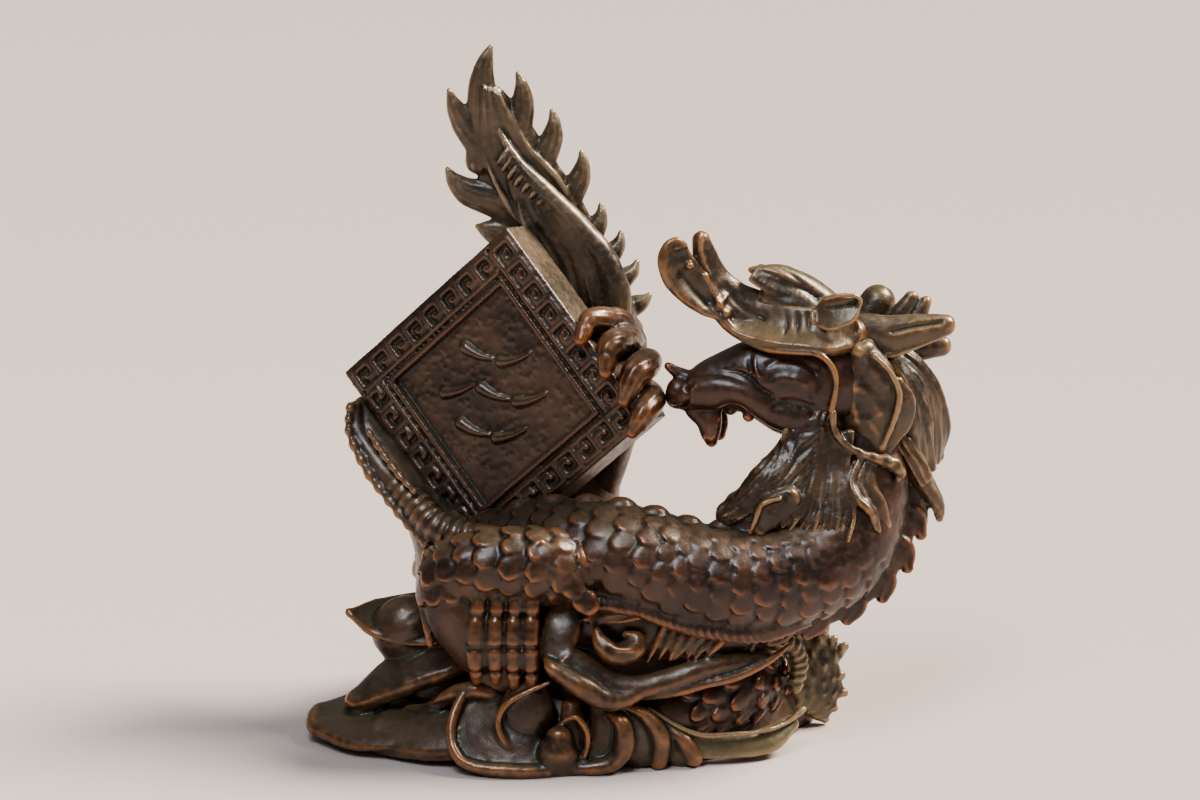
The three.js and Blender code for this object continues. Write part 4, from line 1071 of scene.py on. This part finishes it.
# ---------------------------------------------------------------- the cradle
# A wave lip that rises behind the foreleg and hugs the tablet's lower left-hand edge, fluted on its inside.
CRADLE_BACK = [
    [
        [-33, 11.6, 37.6, 1.4, 2.4], [-32.2, 10.6, 35, 2.5, 3.4], [-29.4, 8.6, 31.4, 2.9, 4.4],
        [-26, 5.6, 27.4, 2.8, 5], [-21, 1, 23.6, 3, 5], [-15, -1, 22.4, 2.4, 4],
    ],
    [[-27.6, 7, 29, 2, 4], [-24, 4, 22, 2.6, 5], [-22.6, 1, 12, 4, 6]],
]
CRADLE_LIP = [
    [-34, 9.3, 38.2, 0.8], [-33.8, 8.2, 35.8, 1.2], [-31.8, 6.2, 32.8, 1.3], [-29, 3.8, 30, 1.6],
    [-26, 0.8, 27.8, 2], [-23.4, -2.2, 26, 2.1], [-19.6, -4.2, 25.4, 1.9], [-15, -5, 26, 1.4],
]
CRADLE_FINISH = bronze(
    "cradle_bronze", (0.065, 0.042, 0.027), (0.3, 0.17, 0.09), (0.06, 0.06, 0.03), rub=0.6, green=0.5
)
CRADLE_EDGE = [
    [-34.6, 8.6, 38.6, 0.5], [-34.7, 7.2, 35.8, 0.55], [-32.9, 5.0, 32.2, 0.6], [-30.2, 2.4, 29.0, 0.6],
    [-27.4, -0.6, 26.4, 0.6], [-24.8, -3.4, 24.2, 0.5],
]
CRADLE_INNER = [
    [-32.2, 5.6, 36.2, 0.4], [-30.2, 3.8, 33.6, 0.45], [-28.2, 1.6, 31.6, 0.5], [-26.2, -0.8, 30.2, 0.4],
]


def ribbed(ribs, depth, start, end):
    """Round ribs across the front of a form, between two places along it."""
    def carve(place, angle):
        inside = np.clip((place - start) / 0.06, 0, 1) * np.clip((end - place) / 0.06, 0, 1)
        wave = np.abs(np.sin(math.pi * ribs * (place - start) / (end - start))) ** 0.6 - 0.7
        return depth * wave * inside * np.clip(np.sin(angle) + 0.3, 0, 1)
    return carve


cradle_forms = all_drawn(CRADLE_BACK)
cradle_forms += [drawn(CRADLE_LIP, (0, -0.8, 0.6), ribbed(11, 0.55, 0.42, 0.93))]
cradle_forms += [drawn(CRADLE_EDGE, carve=lambda p, a: 0.14 * np.sin(70 * p))]
cradle_forms += [drawn(CRADLE_INNER, carve=lambda p, a: 0.1 * np.sin(40 * p))]
cradle = cast("cradle", cradle_forms, CRADLE_FINISH, most=70000)

# ---------------------------------------------------------------- the head
# Skull, open jaws and cheek, with a broad upper lip and a long fang. The brow, a piece of its own here,
# rises forward as a dished sheet with two lobes, and its thin edge runs on round the cheek. All of it was
# modelled in wax and cast in one.
SKULL = [
    [28, -3, 44, 5.0, 4.6], [24.5, -3.8, 45, 5.8, 5.4], [20, -4.2, 45.4, 5.2, 5.1],
    [15, -4.4, 45.6, 4.6, 4.0], [11, -4.4, 44.9, 3.5, 3.0], [7.6, -4.4, 43.6, 2.6, 2.4],
    [6, -4.4, 43.4, 1.7, 1.8],
]
LIP = [
    [5.7, -5.6, 43.5, 1.3, 1.1], [7.6, -6.4, 44.0, 1.8, 1.4], [9.8, -7.0, 44.4, 2.1, 1.4],
    [12.0, -7.4, 44.8, 1.7, 1.4], [14.0, -7.8, 44.4, 1.6, 1.4], [16.0, -8.0, 43.2, 1.8, 1.4],
    [18.4, -8.0, 41.8, 1.9, 1.4], [21.4, -7.8, 41.4, 2.0, 1.4],
]
FANGS = [
    [
        [9.0, -5.8, 42.2, 2.3, 1.4], [9.6, -6.5, 40.6, 1.6, 1.3], [9.8, -6.7, 38.9, 1.1, 1.1],
        [9.9, -6.7, 38.3, 0.8, 0.9],
    ],
    [[9.6, -2.8, 41.6, 1.8, 1.3], [10.8, -2.4, 39.6, 1.4, 1.1], [11, -2.4, 38, 0.8, 0.8]],
    [[12.4, -5.6, 42.8, 0.9, 1.2], [12.3, -5.6, 42.0, 0.8]],
    [[14.6, -6.2, 42.2, 1.0, 1.2], [14.4, -6.2, 41.3, 0.8]],
]
LOWER_JAW = [[22, -4.2, 39.6, 2.2, 3.4], [18, -4.2, 40.6, 1.8, 2.8], [15.6, -4.2, 41.2, 0.9, 1.8]]
NOSE_KNOB = [[6.8, -4.4, 45.6, 1.1], [5.7, -4.4, 46.3, 0.75], [4.7, -4.4, 47.0, 0.5]]
# Each sheet of the brow: the way it faces, and its stations.
BROW = [
    [
        (0, -0.75, 0.65),
        [
            [26.5, -5.8, 51.2, 2.2, 2.2], [23.2, -7.5, 51.8, 2.9, 1.9], [21, -7.3, 52.2, 3.0, 1.8],
            [18.4, -6.6, 52.3, 3.0, 1.7], [14.9, -5.2, 52.7, 2.9, 1.6], [13, -4.6, 53.4, 2.6, 1.4],
            [11.2, -4.2, 54.8, 2.0, 1.1],
        ],
    ],
    [
        (0.25, -0.9, 0.35),
        [
            [11.4, -4.8, 53.6, 1.0, 1.0], [9.2, -4.8, 55.3, 1.8, 1.1], [7.2, -4.9, 57.4, 2.4, 1.1],
            [5.9, -4.8, 59.8, 2.1, 1.1], [5.6, -4.6, 61.6, 1.4, 1.0],
        ],
    ],
    [
        (0.3, -0.8, 0.5),
        [
            [16, -3.4, 53.6, 2.4, 1.4], [12.6, -3.2, 55.2, 2.2, 1.3], [10.3, -3.0, 57.4, 2.0, 1.3],
            [9.1, -2.9, 60.2, 1.6, 1.2], [8.6, -2.9, 62.3, 1.1, 1.0],
        ],
    ],
]
BROW_DEPTHS = (1.5, 0.75, 0.3)
BROW_EDGE = [
    [6.6, -4.8, 62.0, 0.4], [5.6, -5.0, 62.6, 0.5], [4.6, -5.1, 62.0, 0.6], [4.1, -5.3, 60.1, 0.8],
    [4.7, -5.4, 57.9, 0.75], [6.3, -5.4, 55.8, 0.55], [8.7, -5.4, 54.1, 0.45], [11.5, -5.6, 53.0, 0.4],
    [13.0, -6.3, 51.3, 0.42], [14.9, -7.1, 50.4, 0.45], [18.0, -8.7, 50.0, 0.45],
    [21.3, -9.6, 50.0, 0.42], [22.9, -9.9, 49.6, 0.4], [24.1, -10, 48.3, 0.4], [24.6, -10, 46.7, 0.4],
    [24.4, -9.8, 44.4, 0.4], [24.1, -9.6, 42.9, 0.42],
]
NOSE = [5.9, -5.3, 44.2], [1.45, 1.5, 1.6]
BROW_BEAD = [7.2, -5.3, 59.6], [0.5, 0.5, 0.5]
HEAD_FINISH = bronze(
    "head_bronze", (0.042, 0.018, 0.01), (0.2, 0.085, 0.035), (0.045, 0.045, 0.022),
    rub=0.7, green=0.6, bare=0.05, bloom_and_top_light=0.15
)
BROW_FINISH = bronze(
    "brow_bronze", (0.07, 0.046, 0.026), (0.33, 0.16, 0.065), (0.085, 0.085, 0.042),
    rub=0.8, green=0.7, bloom_and_top_light=0.3
)
head_forms = all_drawn([SKULL, LIP, LOWER_JAW, NOSE_KNOB]) + [egg(*NOSE)] + all_drawn(FANGS)
head_strokes = [
    (
        [
            [6.9, -8, 45.0], [8.3, -8, 46.7], [10.2, -8, 47.2], [12.7, -8, 47.2], [14.3, -8, 46.6],
            [15.6, -8, 45.4], [17, -8, 44.6],
        ],
        0.26,
        -0.5,
    ),
    ([[6.9, -6.8, 45.2], [7.1, -6.8, 43.8], [6.3, -6.8, 42.5], [5.3, -6.8, 42.2]], 0.26, -0.45),
    ([[15.2, -8.4, 50.3], [15.0, -8.4, 49.1], [15.0, -8.4, 47.9], [15.5, -8.4, 46.8]], 0.24, 0.4),
    ([[14.6, -8.4, 50.0], [14.4, -8.4, 48.6], [14.5, -8.4, 47.4]], 0.35, -0.35),
    ([[16.9, -9, 46.0], [18.2, -9, 46.7], [19.6, -9, 46.6], [20.8, -9, 46.0]], 0.5, 0.16),
    ([[16.6, -9, 48.2], [18.4, -9, 48.9], [20.6, -9, 48.6], [22, -9, 47.6]], 0.4, -0.3),
    ([[21.6, -9, 44.6], [22.4, -9, 46.2], [22.2, -9, 47.8]], 0.6, -0.3),
    ([[17.4, -9, 43.4], [19.4, -9, 43.8], [21.6, -9, 43.2]], 0.5, -0.25),
]
head = cast("head", head_forms, HEAD_FINISH, head_strokes, most=90000, skin=0.85 * SKIN)
brow_forms = [drawn(BROW_EDGE), egg(*BROW_BEAD)]
brow_forms += [
    drawn(line, facing, dished(depth))
    for (facing, line), depth in zip(BROW, BROW_DEPTHS)
]
brow_strokes = [
    ([[8.5, -4, 63.2], [8.6, -4, 60.8], [9.5, -4, 58.2]], 0.3, 0.4),
    ([[9.0, -5, 58.2], [10.3, -5, 55.8], [11.5, -5, 53.8]], 0.32, 0.45),
    ([[6.2, -5, 58.8], [7.6, -5, 57.0], [9.4, -5, 55.2]], 0.6, -0.4),
    ([[11.6, -5, 56.6], [13.6, -5, 54.4], [16, -5, 53.2]], 0.5, -0.3),
    ([[18.6, -7, 54.2], [18.8, -7, 52.8], [18.4, -7, 51.4]], 0.25, -0.2),
    ([[20.0, -7, 54.0], [20.1, -7, 52.8], [19.9, -7, 51.4]], 0.25, -0.2),
    ([[21.3, -7, 54.0], [21.4, -7, 52.8], [21.2, -7, 51.4]], 0.25, -0.2),
]
brow = cast("brow", brow_forms, BROW_FINISH, brow_strokes, most=70000, skin=0.85 * SKIN)

# ---------------------------------------------------------------- the crown, mane and beard
# Antlers, ear and tuft on the crown, the leaf-shaped cheek flap, and locks of mane and beard. Each lock was
# combed into the wax with a toothed tool.
TUFT = [
    [25, -1.6, 52.4, 2.2, 2.4], [22.6, -2, 55.0, 1.8, 2.3], [20.4, -2.2, 56.6, 1.6, 2.1],
    [18, -2.4, 57.7, 1.4, 1.8], [16, -2.6, 58.2, 0.9, 1.2], [14.6, -2.6, 58.5, 0.4, 0.5],
]
TUFT_EDGE = [[14.7, -3.4, 58.2], [16.8, -4.2, 56.8], [19, -4.6, 55.9], [21.5, -5, 54.7]]
TUFT_TEETH = 14
CROWN = [
    [[23.6, -3, 52.6, 2.6, 3], [19.6, -3.2, 54.4, 2.0, 2.4], [16.8, -3.2, 55.2, 1.4, 1.6]],
    [[28, 0.5, 50, 2.6], [30.2, 1, 53.7, 2.15]],
    [[32, -2, 51.6, 1.6, 1.2], [33.6, -1.8, 54.0, 1.15, 1.0], [34.1, -1.7, 54.9, 0.9, 0.8]],
    [[34.4, -2.2, 51.8, 1.4, 1.1], [35.8, -1.8, 54.4, 0.75]],
    [[28, 1, 48.6, 2.4], [34, 1.8, 47.6, 1.7], [38.2, 2, 47.9, 1.3, 1.2]],
]
EAR = [
    [22.2, -6.6, 53.6, 1.2, 0.8], [23.9, -7.5, 54.3, 2.3, 0.9], [25.8, -7.8, 55.0, 2.0, 0.9],
    [27.2, -7.7, 55.9, 0.7, 0.5],
]
EAR_EDGE = [
    [23.2, -7.9, 56.1, 0.22], [24.9, -8.3, 56.7, 0.28], [26.4, -8.3, 56.7, 0.3], [27.5, -8.1, 56.1, 0.28],
    [27.0, -8.1, 54.4, 0.22],
]
ANTLER = [
    [26, -4.6, 51.6, 1.9, 2], [29, -4.8, 51.5, 2.1, 1.9], [31.2, -4.9, 51.0, 2.4, 1.9],
    [34, -4.8, 51.4, 2.1, 1.7], [36.6, -4.6, 51.9, 1.7, 1.4], [38, -4.4, 52.1, 1.3, 1.2],
]
ANTLER_EDGE = [
    [28.6, -6.0, 49.9, 0.3], [30.8, -6.4, 48.9, 0.4], [34, -6.2, 49.7, 0.36], [37.8, -5.3, 51.2, 0.32],
]
FLAP = [
    [28, -7, 49.6, 1.6, 1.3], [29.2, -7.6, 46.4, 2.7, 1.3], [29.5, -7.7, 43.4, 2.9, 1.2],
    [29.1, -7.9, 40.4, 2.4, 1.1], [29.8, -8.1, 37.6, 1.0, 0.8],
]
FLAP_EDGE = [
    [29.2, -8.4, 49.4, 0.3], [31.1, -8.7, 47.4, 0.36], [32.2, -8.8, 45.1, 0.38], [32.1, -8.8, 43.0, 0.38],
    [31.3, -8.8, 40.4, 0.36], [30.3, -8.8, 37.8, 0.3],
]
FLAP_LEAF = [
    [32.3, -7.4, 46.0, 0.5, 0.6], [33.2, -7.4, 43.4, 1.3, 0.9], [32.9, -7.4, 41.0, 1.3, 0.9],
    [31.7, -7.7, 38.8, 0.9, 0.8], [30.9, -8, 36.9, 0.4, 0.5],
]
JOWL = [
    [24.3, -9.6, 42.6, 0.45], [24.5, -9.8, 40.6, 0.45], [25.4, -10, 39.2, 0.5], [26.8, -10, 38.1, 0.52],
    [28.6, -9.9, 37.3, 0.55], [30.2, -9.8, 36.8, 0.7], [31.4, -9.6, 36.4, 0.9], [32.4, -9.4, 35.3, 0.8],
    [32.2, -9.2, 34.2, 0.5],
]
MANE = [
    [
        [29.8, -1, 48.6, 2.2, 2], [33.9, -0.6, 45.6, 2.2, 1.9], [36.4, 0.2, 42.0, 1.8, 1.5],
        [37.4, 0.6, 38.0, 1.2, 1.1], [38.2, 1, 34.0, 0.5],
    ],
    [
        [31, -3.5, 47, 1.8, 1.6], [33.6, -3.8, 43.6, 1.8, 1.5], [35.2, -3.6, 40.0, 1.6, 1.3],
        [36.0, -3.2, 36.4, 1.1, 1.0], [37.0, -3, 33.8, 0.5],
    ],
    [
        [31, -5, 41.6, 1.8, 1.5], [33.2, -5.4, 37.4, 1.6, 1.4], [35.4, -4.8, 33.4, 1.3, 1.2],
        [37.6, -3.4, 29.4, 0.9], [38, -3, 27.4, 0.5],
    ],
    [[29.5, 1, 45, 2.6, 2.4], [34, 3.4, 41, 2.2], [36.2, 4, 35, 1.7], [36.6, 4, 29.6, 0.6]],
    [[28, 2, 47, 2.6, 2.2], [31, 4.6, 42, 2.4, 2.2], [32.4, 6, 35, 2, 1.8], [32.4, 6.2, 29, 0.6]],
    [[27, 2, 41, 2.6, 2.2], [28.4, 4, 36, 2.2, 2], [28.6, 4.4, 30, 1.8, 1.6], [27.8, 4.6, 25, 0.6]],
    [
        [31, -3.6, 38, 2.4, 2.0], [33.4, -3.4, 33.4, 2.2, 1.6], [35.0, -3, 29.4, 1.6, 1.1],
        [36, -3, 27, 0.6],
    ],
]
MANE_LEFT = [
    [31.6, -5.2, 47.6], [33.2, -5.8, 44.6], [34.0, -6.0, 41.0], [34.6, -5.8, 37.2], [35.8, -5.0, 33.2],
]
MANE_RIGHT = [
    [32.4, -0.8, 47.8], [35.8, -0.2, 45.2], [37.9, 0.4, 41.6], [38.6, 0.8, 37.6], [38.3, 1, 34.2],
]
MANE_STRANDS = 11
VEIL = [
    [23, -7.2, 41, 3.0, 2.2], [22, -7.8, 38.4, 3.7, 2.3], [20.6, -8.8, 35.4, 4.2, 2.3],
    [18, -9.9, 32.8, 4.4, 2.3], [14.6, -10.4, 30.8, 3.2, 2.0], [12, -10.4, 29.8, 2.0, 1.6],
]
# The beard is a curtain of strands between a left-hand and a right-hand line.
BEARD_LEFT = [
    [18.9, -8.6, 40.2], [18.3, -9.2, 37.1], [16.8, -10.4, 34.3], [14.3, -11.6, 32.2], [11.4, -11.8, 30.4],
]
BEARD_RIGHT = [
    [26.8, -9.6, 40.0], [26.0, -10.4, 36.1], [26.2, -11.6, 33.6], [26.6, -12.8, 30.8], [26.0, -14, 27.8],
]
BEARD_STRANDS = 18
CURLED_LOCK = [
    [
        [27.6, -10.0, 37.0, 0.4], [26.5, -11.4, 34.5, 0.45], [27.3, -12.4, 32.7, 0.5],
        [28.8, -12.6, 31.1, 0.5], [29.5, -12.4, 29.0, 0.35],
    ],
    [
        [28.4, -9.8, 36.5, 0.35], [27.5, -11.2, 34.3, 0.4], [28.5, -12.0, 32.0, 0.4],
        [29.5, -12.2, 30.3, 0.4], [29.9, -12.2, 28.6, 0.3],
    ],
    [
        [29.0, -9.4, 36.0, 0.8, 0.7], [28.6, -10.4, 34.0, 1.1, 0.9], [29.6, -11.0, 31.6, 1.2, 0.9],
        [30.8, -10.8, 29.0, 0.7],
    ],
]
BREAST_LEAF = [
    [19.4, -12.0, 32.8, 1.5, 1.1], [17.0, -12.7, 31.2, 1.9, 1.1], [15.6, -12.9, 29.0, 1.0, 0.9],
]
BREAST_LEAF_EDGE = [
    [17.9, -13.4, 33.0, 0.3], [15.8, -13.6, 32.3, 0.36], [15.0, -13.7, 30.4, 0.38],
    [14.4, -13.6, 28.8, 0.28],
]
BREAST_LUMPS = [
    [[11.9, -10.2, 29.6], [1.5, 1.4, 1.6]],
    [[13, -10.2, 31.6], [1.5, 1.4, 1.4]],
    [[15, -10.2, 33.0], [1.5, 1.3, 1.3]],
]


def tuft_teeth():
    """The tuft's lower front edge breaks into a row of small points."""
    teeth = []
    for place in (np.arange(TUFT_TEETH) + 0.5) / TUFT_TEETH:
        x, y, z = point_on(TUFT_EDGE, place)
        size = 0.28 + 0.16 * place
        root, tip = [x + 0.9, y + 1.2, z + 0.9, size], [x - 0.45, y - 0.1, z - 0.55, 0.25]
        teeth.append(drawn([root, [x, y, z, size], tip]))
    return teeth


CROWN_FINISH = bronze(
    "crown_bronze", (0.062, 0.042, 0.024), (0.4, 0.24, 0.12), (0.08, 0.08, 0.04),
    rub=0.75, green=0.7, bloom_and_top_light=0.35
)
crown_forms = [drawn(TUFT)] + tuft_teeth() + all_drawn(CROWN)
crown_forms += [drawn(ANTLER, (0, -0.9, 0.3)), drawn(ANTLER_EDGE)]
crown_forms += [drawn(EAR, (0, -0.85, 0.5), dished(0.6)), drawn(EAR_EDGE)]
crown_forms += [
    drawn(FLAP, carve=dished(0.25)),
    drawn(FLAP_EDGE),
    drawn(FLAP_LEAF, (0.5, -0.8, 0.2), dished(0.25)),
]
crown_strokes = [
    ([[31.4, -6, 51.8], [33.4, -6, 52.3], [35.4, -6, 52.6], [37.4, -6, 52.8]], 0.28, -0.4),
    ([[27.0, -8, 50.2], [28.2, -8, 48.8], [29.4, -8, 46.8], [30.4, -8, 45.6]], 1.0, 0.4),
    ([[27.6, -8, 45.4], [28.9, -8, 44.2], [29.9, -8, 42.4]], 0.9, 0.4),
    ([[26.4, -8, 47.4], [26.7, -8, 44.6], [27.4, -8, 41.4]], 0.8, 0.35),
    ([[28.8, -8, 41.4], [29.6, -8, 40.0], [30.0, -8, 38.4]], 0.7, 0.3),
    ([[15.8, -4, 58.6], [18.0, -4, 57.9], [20.4, -4, 56.8], [22.6, -4, 55.4]], 0.3, -0.25),
    ([[17.4, -4, 59.2], [19.4, -4, 58.2], [21.6, -4, 56.4]], 0.25, -0.18),
    ([[23.4, -8, 55.0], [25.0, -8, 55.3], [26.6, -8, 55.7]], 0.3, -0.3),
]
crown = cast(
    "crown_and_cheek_flap", crown_forms, CROWN_FINISH, crown_strokes, most=110000, skin=0.85 * SKIN,
)

MANE_FINISH = bronze(
    "mane_bronze", (0.045, 0.028, 0.016), (0.36, 0.21, 0.1), (0.06, 0.06, 0.03),
    rub=0.7, green=0.6, bloom_and_top_light=0.4
)
mane_forms = all_drawn(MANE, carve=combed(13, 0.3))
mane_forms += curtain(MANE_LEFT, MANE_RIGHT, MANE_STRANDS, 0.62, 4)
mane_forms += [drawn(VEIL, carve=combed(26, 0.3))]
mane_forms += curtain(BEARD_LEFT, BEARD_RIGHT, BEARD_STRANDS, 0.5, 5)
mane_forms += all_drawn(CURLED_LOCK) + [egg(*lump) for lump in BREAST_LUMPS]
mane_forms += [drawn(JOWL, carve=lambda p, a: 0.16 * p * np.sin(50 * p) * np.cos(2 * a))]
mane_forms += [drawn(BREAST_LEAF, carve=dished(0.3)), drawn(BREAST_LEAF_EDGE)]
mane_strokes = [
    ([[32.3, -6, 37.8], [33.9, -6, 35.4], [35.4, -6, 32.6]], 0.3, 0.5),
    ([[33.0, -6, 38.2], [34.6, -6, 35.6], [35.9, -6, 33.0]], 0.3, 0.5),
    ([[33.7, -6, 38.4], [35.2, -6, 36.0], [36.5, -6, 33.4]], 0.3, 0.5),
]
mane = cast("mane_and_beard", mane_forms, MANE_FINISH, mane_strokes, most=190000, skin=0.8 * SKIN)

# ---------------------------------------------------------------- the legs
# A scaled foreleg that bends at the elbow and stands on four long toes, and a hind leg behind the tablet
# whose claws close over the tablet's right-hand corner. They are cast in one with the body.
FORELEG = [
    [-4, -10.5, 23.5, 4.6], [-10, -12.4, 24.4, 4.4], [-17, -12, 24.4, 4.1], [-21.4, -11, 22.2, 3.8],
    [-20.6, -12, 18.4, 3.9, 3.6], [-17, -13.4, 15, 4.6, 3],
]
TOES_X, TOE_Y, TOE_TOP, TOE_FOOT = (-18.4, -16.1, -13.9, -11.8), -15.6, 20.0, 10.6
PAW = [[-15.4, -10.6, 21, 5.2, 2.4], [-15.2, -11.4, 15, 4.8, 2.0], [-15, -12.2, 9.6, 4.2, 1.8]]
ELBOW_HAIR = [[-24.4, -10, 25, 0.6, 1.5], [-25, -10, 20, 0.7, 1.4], [-24, -11, 14, 0.5, 0.8]]
HIND_LEG = [[-5, 11, 26, 3.4], [-2.6, 9, 34, 3.4], [-0.4, 6.6, 41, 2.8], [0, 5, 47.6, 2.3]]
CLAWS = [
    [[0.4, 5, 49.4, 1.6], [-2, 1, 51.4, 1.7], [-4.9, -2, 51.9, 1.5], [-5.8, -4, 50.2, 0.9]],
    [[0.8, 4, 48, 1.5], [-0.6, -1, 49.6, 1.7], [-2.4, -5.2, 49.2, 1.7], [-2.8, -6.6, 46.8, 0.9]],
    [
        [0.6, 5, 45, 1.6], [2.4, 1, 46.2, 1.6], [2, -4, 47.2, 1.9], [0.5, -7.2, 46.4, 1.9],
        [-0.6, -7.8, 43.6, 0.9],
    ],
    [
        [0.4, 5, 42.4, 1.6], [2.6, 0, 42.6, 1.5], [2.7, -5, 43, 1.8], [1.6, -8.2, 42, 1.7],
        [0.4, -8.4, 39.8, 0.8],
    ],
    [[1.6, 3, 41.6, 1.6], [0.4, -0.5, 39, 1.3], [-1, -2.6, 37, 0.7]],
]


def toes():
    """Long flat toes side by side, each of three plates, that fade into the wave under them."""
    def plated(place, angle):
        joints = sum(np.exp(-((place - joint) / 0.022) ** 2) for joint in (0.14, 0.46, 0.78))
        return -0.42 * joints * (np.sin(angle) > -0.2) - 0.16 * np.abs(np.cos(angle)) ** 6

    parts = []
    for i, x in enumerate(TOES_X):
        drop = 0.5 * math.cos(i * math.pi / 3)
        line = [
            [x * 0.98, TOE_Y + 1.0, TOE_TOP + 0.6, 1.1, 1.1],
            [x, TOE_Y, TOE_TOP - 3.4, 1.2, 1.1],
            [x, TOE_Y - 0.2, TOE_TOP - 6.8, 1.2, 1.1],
            [x + 0.1, TOE_Y + 0.3, TOE_FOOT + drop, 0.8, 0.8],
        ]
        parts.append(drawn(line, carve=plated))
    return parts


def knuckled(place, angle):
    """Knuckles along a claw, with fine grooves down its length."""
    return 0.26 * (np.abs(np.sin(2.6 * math.pi * place)) ** 0.7 - 1.1) + 0.09 * np.cos(11 * angle)


def shoulder_plates():
    """Four thick plates step down the front of the shoulder, each laid over the next."""
    plates = []
    for i in range(4):
        middle = np.array([-9.8, -15.8, 26.6]) + np.array([1.5, -0.3, -1.75]) * i
        top, foot = middle + [-1.0, 0.7, 1.2], middle + [0.9, -0.2, -0.9]
        line = [[*top, 1.0, 0.8], [*middle, 1.6, 1.0], [*foot, 1.2, 0.8]]
        plates.append(drawn(line, (0.2, -1, 0.2), dished(0.2)))
    return plates


LEG_FINISH = bronze(
    "leg_bronze", (0.044, 0.02, 0.01), (0.3, 0.12, 0.04), (0.06, 0.058, 0.027),
    rub=0.7, green=0.75, bloom_and_top_light=0.3
)
arm_scales = grown(
    scales,
    scale_spots(
        "arm_rows", scales_round(FORELEG, 0.05, 0.7, 2.2, 2.4, (-10, 200), 1.0, FRONT, droop=0.9),
    ),
    Length=3.7, Width=3.0, Thickness=0.7, Lift=0.17, Unevenness=0.08, Seed=21, Finish=LEG_FINISH,
)
leg_forms = [
    drawn(FORELEG),
    arm_scales,
    drawn(PAW),
    drawn(ELBOW_HAIR, carve=combed(4, 0.2)),
    drawn(HIND_LEG),
]
leg_forms += toes() + shoulder_plates() + all_drawn(CLAWS, carve=knuckled)
legs = cast("legs", leg_forms, LEG_FINISH, most=150000)

# ---------------------------------------------------------------- the room
# A plain pale floor in a studio: broad warm daylight from behind on the right, and a weak cool window above
# on the left that only glosses the front.
FLOOR = 2.5
floor_mesh = bpy.data.meshes.new("floor")
corners = [(-FLOOR, -FLOOR, 0), (FLOOR, -FLOOR, 0), (FLOOR, FLOOR, 0), (-FLOOR, FLOOR, 0)]
floor_mesh.from_pydata(corners, [], [(0, 1, 2, 3)])
floor = placed("floor", floor_mesh)
floor_paint = bpy.data.materials.new("floor_paint")
floor_paint.use_nodes = True
paint = floor_paint.node_tree.nodes["Principled BSDF"].inputs
paint["Base Color"].default_value = (0.56, 0.485, 0.455, 1)
paint["Roughness"].default_value = 0.8
floor_mesh.materials.append(floor_paint)

world = bpy.data.worlds.new("studio")
bpy.context.scene.world = world
world.use_nodes = True
sky = world.node_tree.nodes["Background"].inputs
sky["Color"].default_value = (0.80, 0.73, 0.70, 1)
sky["Strength"].default_value = 0.24
bpy.context.scene.view_settings.look = "AgX - Medium High Contrast"
TARGET = Vector((-3.452, -0.579, 41.6)) * MM


def lamp(name, kind, place, power, colour, size):
    light = bpy.data.lights.new(name, kind)
    light.energy = power
    light.color = colour
    if kind == "SUN":
        light.angle = size
    else:
        light.shape = "RECTANGLE"
        light.size, light.size_y = size
    ob = placed(name, light)
    ob.location = Vector(place)
    ob.rotation_euler = (TARGET - ob.location).to_track_quat("-Z", "Y").to_euler()


lamp("daylight", "SUN", (0.6, 0.14, 0.72), 7.0, (1.0, 0.92, 0.81), math.radians(24))
lamp("window", "AREA", (-0.12, -0.35, 0.58), 2.4, (0.82, 0.91, 1.0), (0.22, 0.3))

# ---------------------------------------------------------------- the camera
# A long lens at the height of the tablet, looking a little down.
camera = bpy.data.cameras.new("camera")
camera.sensor_width = 36
camera.lens = 110.7
camera.clip_start = 0.01
eye = placed("camera", camera)
RAISED = math.radians(15)
AWAY = 0.45  # metres from the camera to the point that it looks at
eye.location = TARGET + Vector((0, -math.cos(RAISED), math.sin(RAISED))) * AWAY
eye.rotation_euler = (TARGET - eye.location).to_track_quat("-Z", "Y").to_euler()
bpy.context.scene.camera = eye
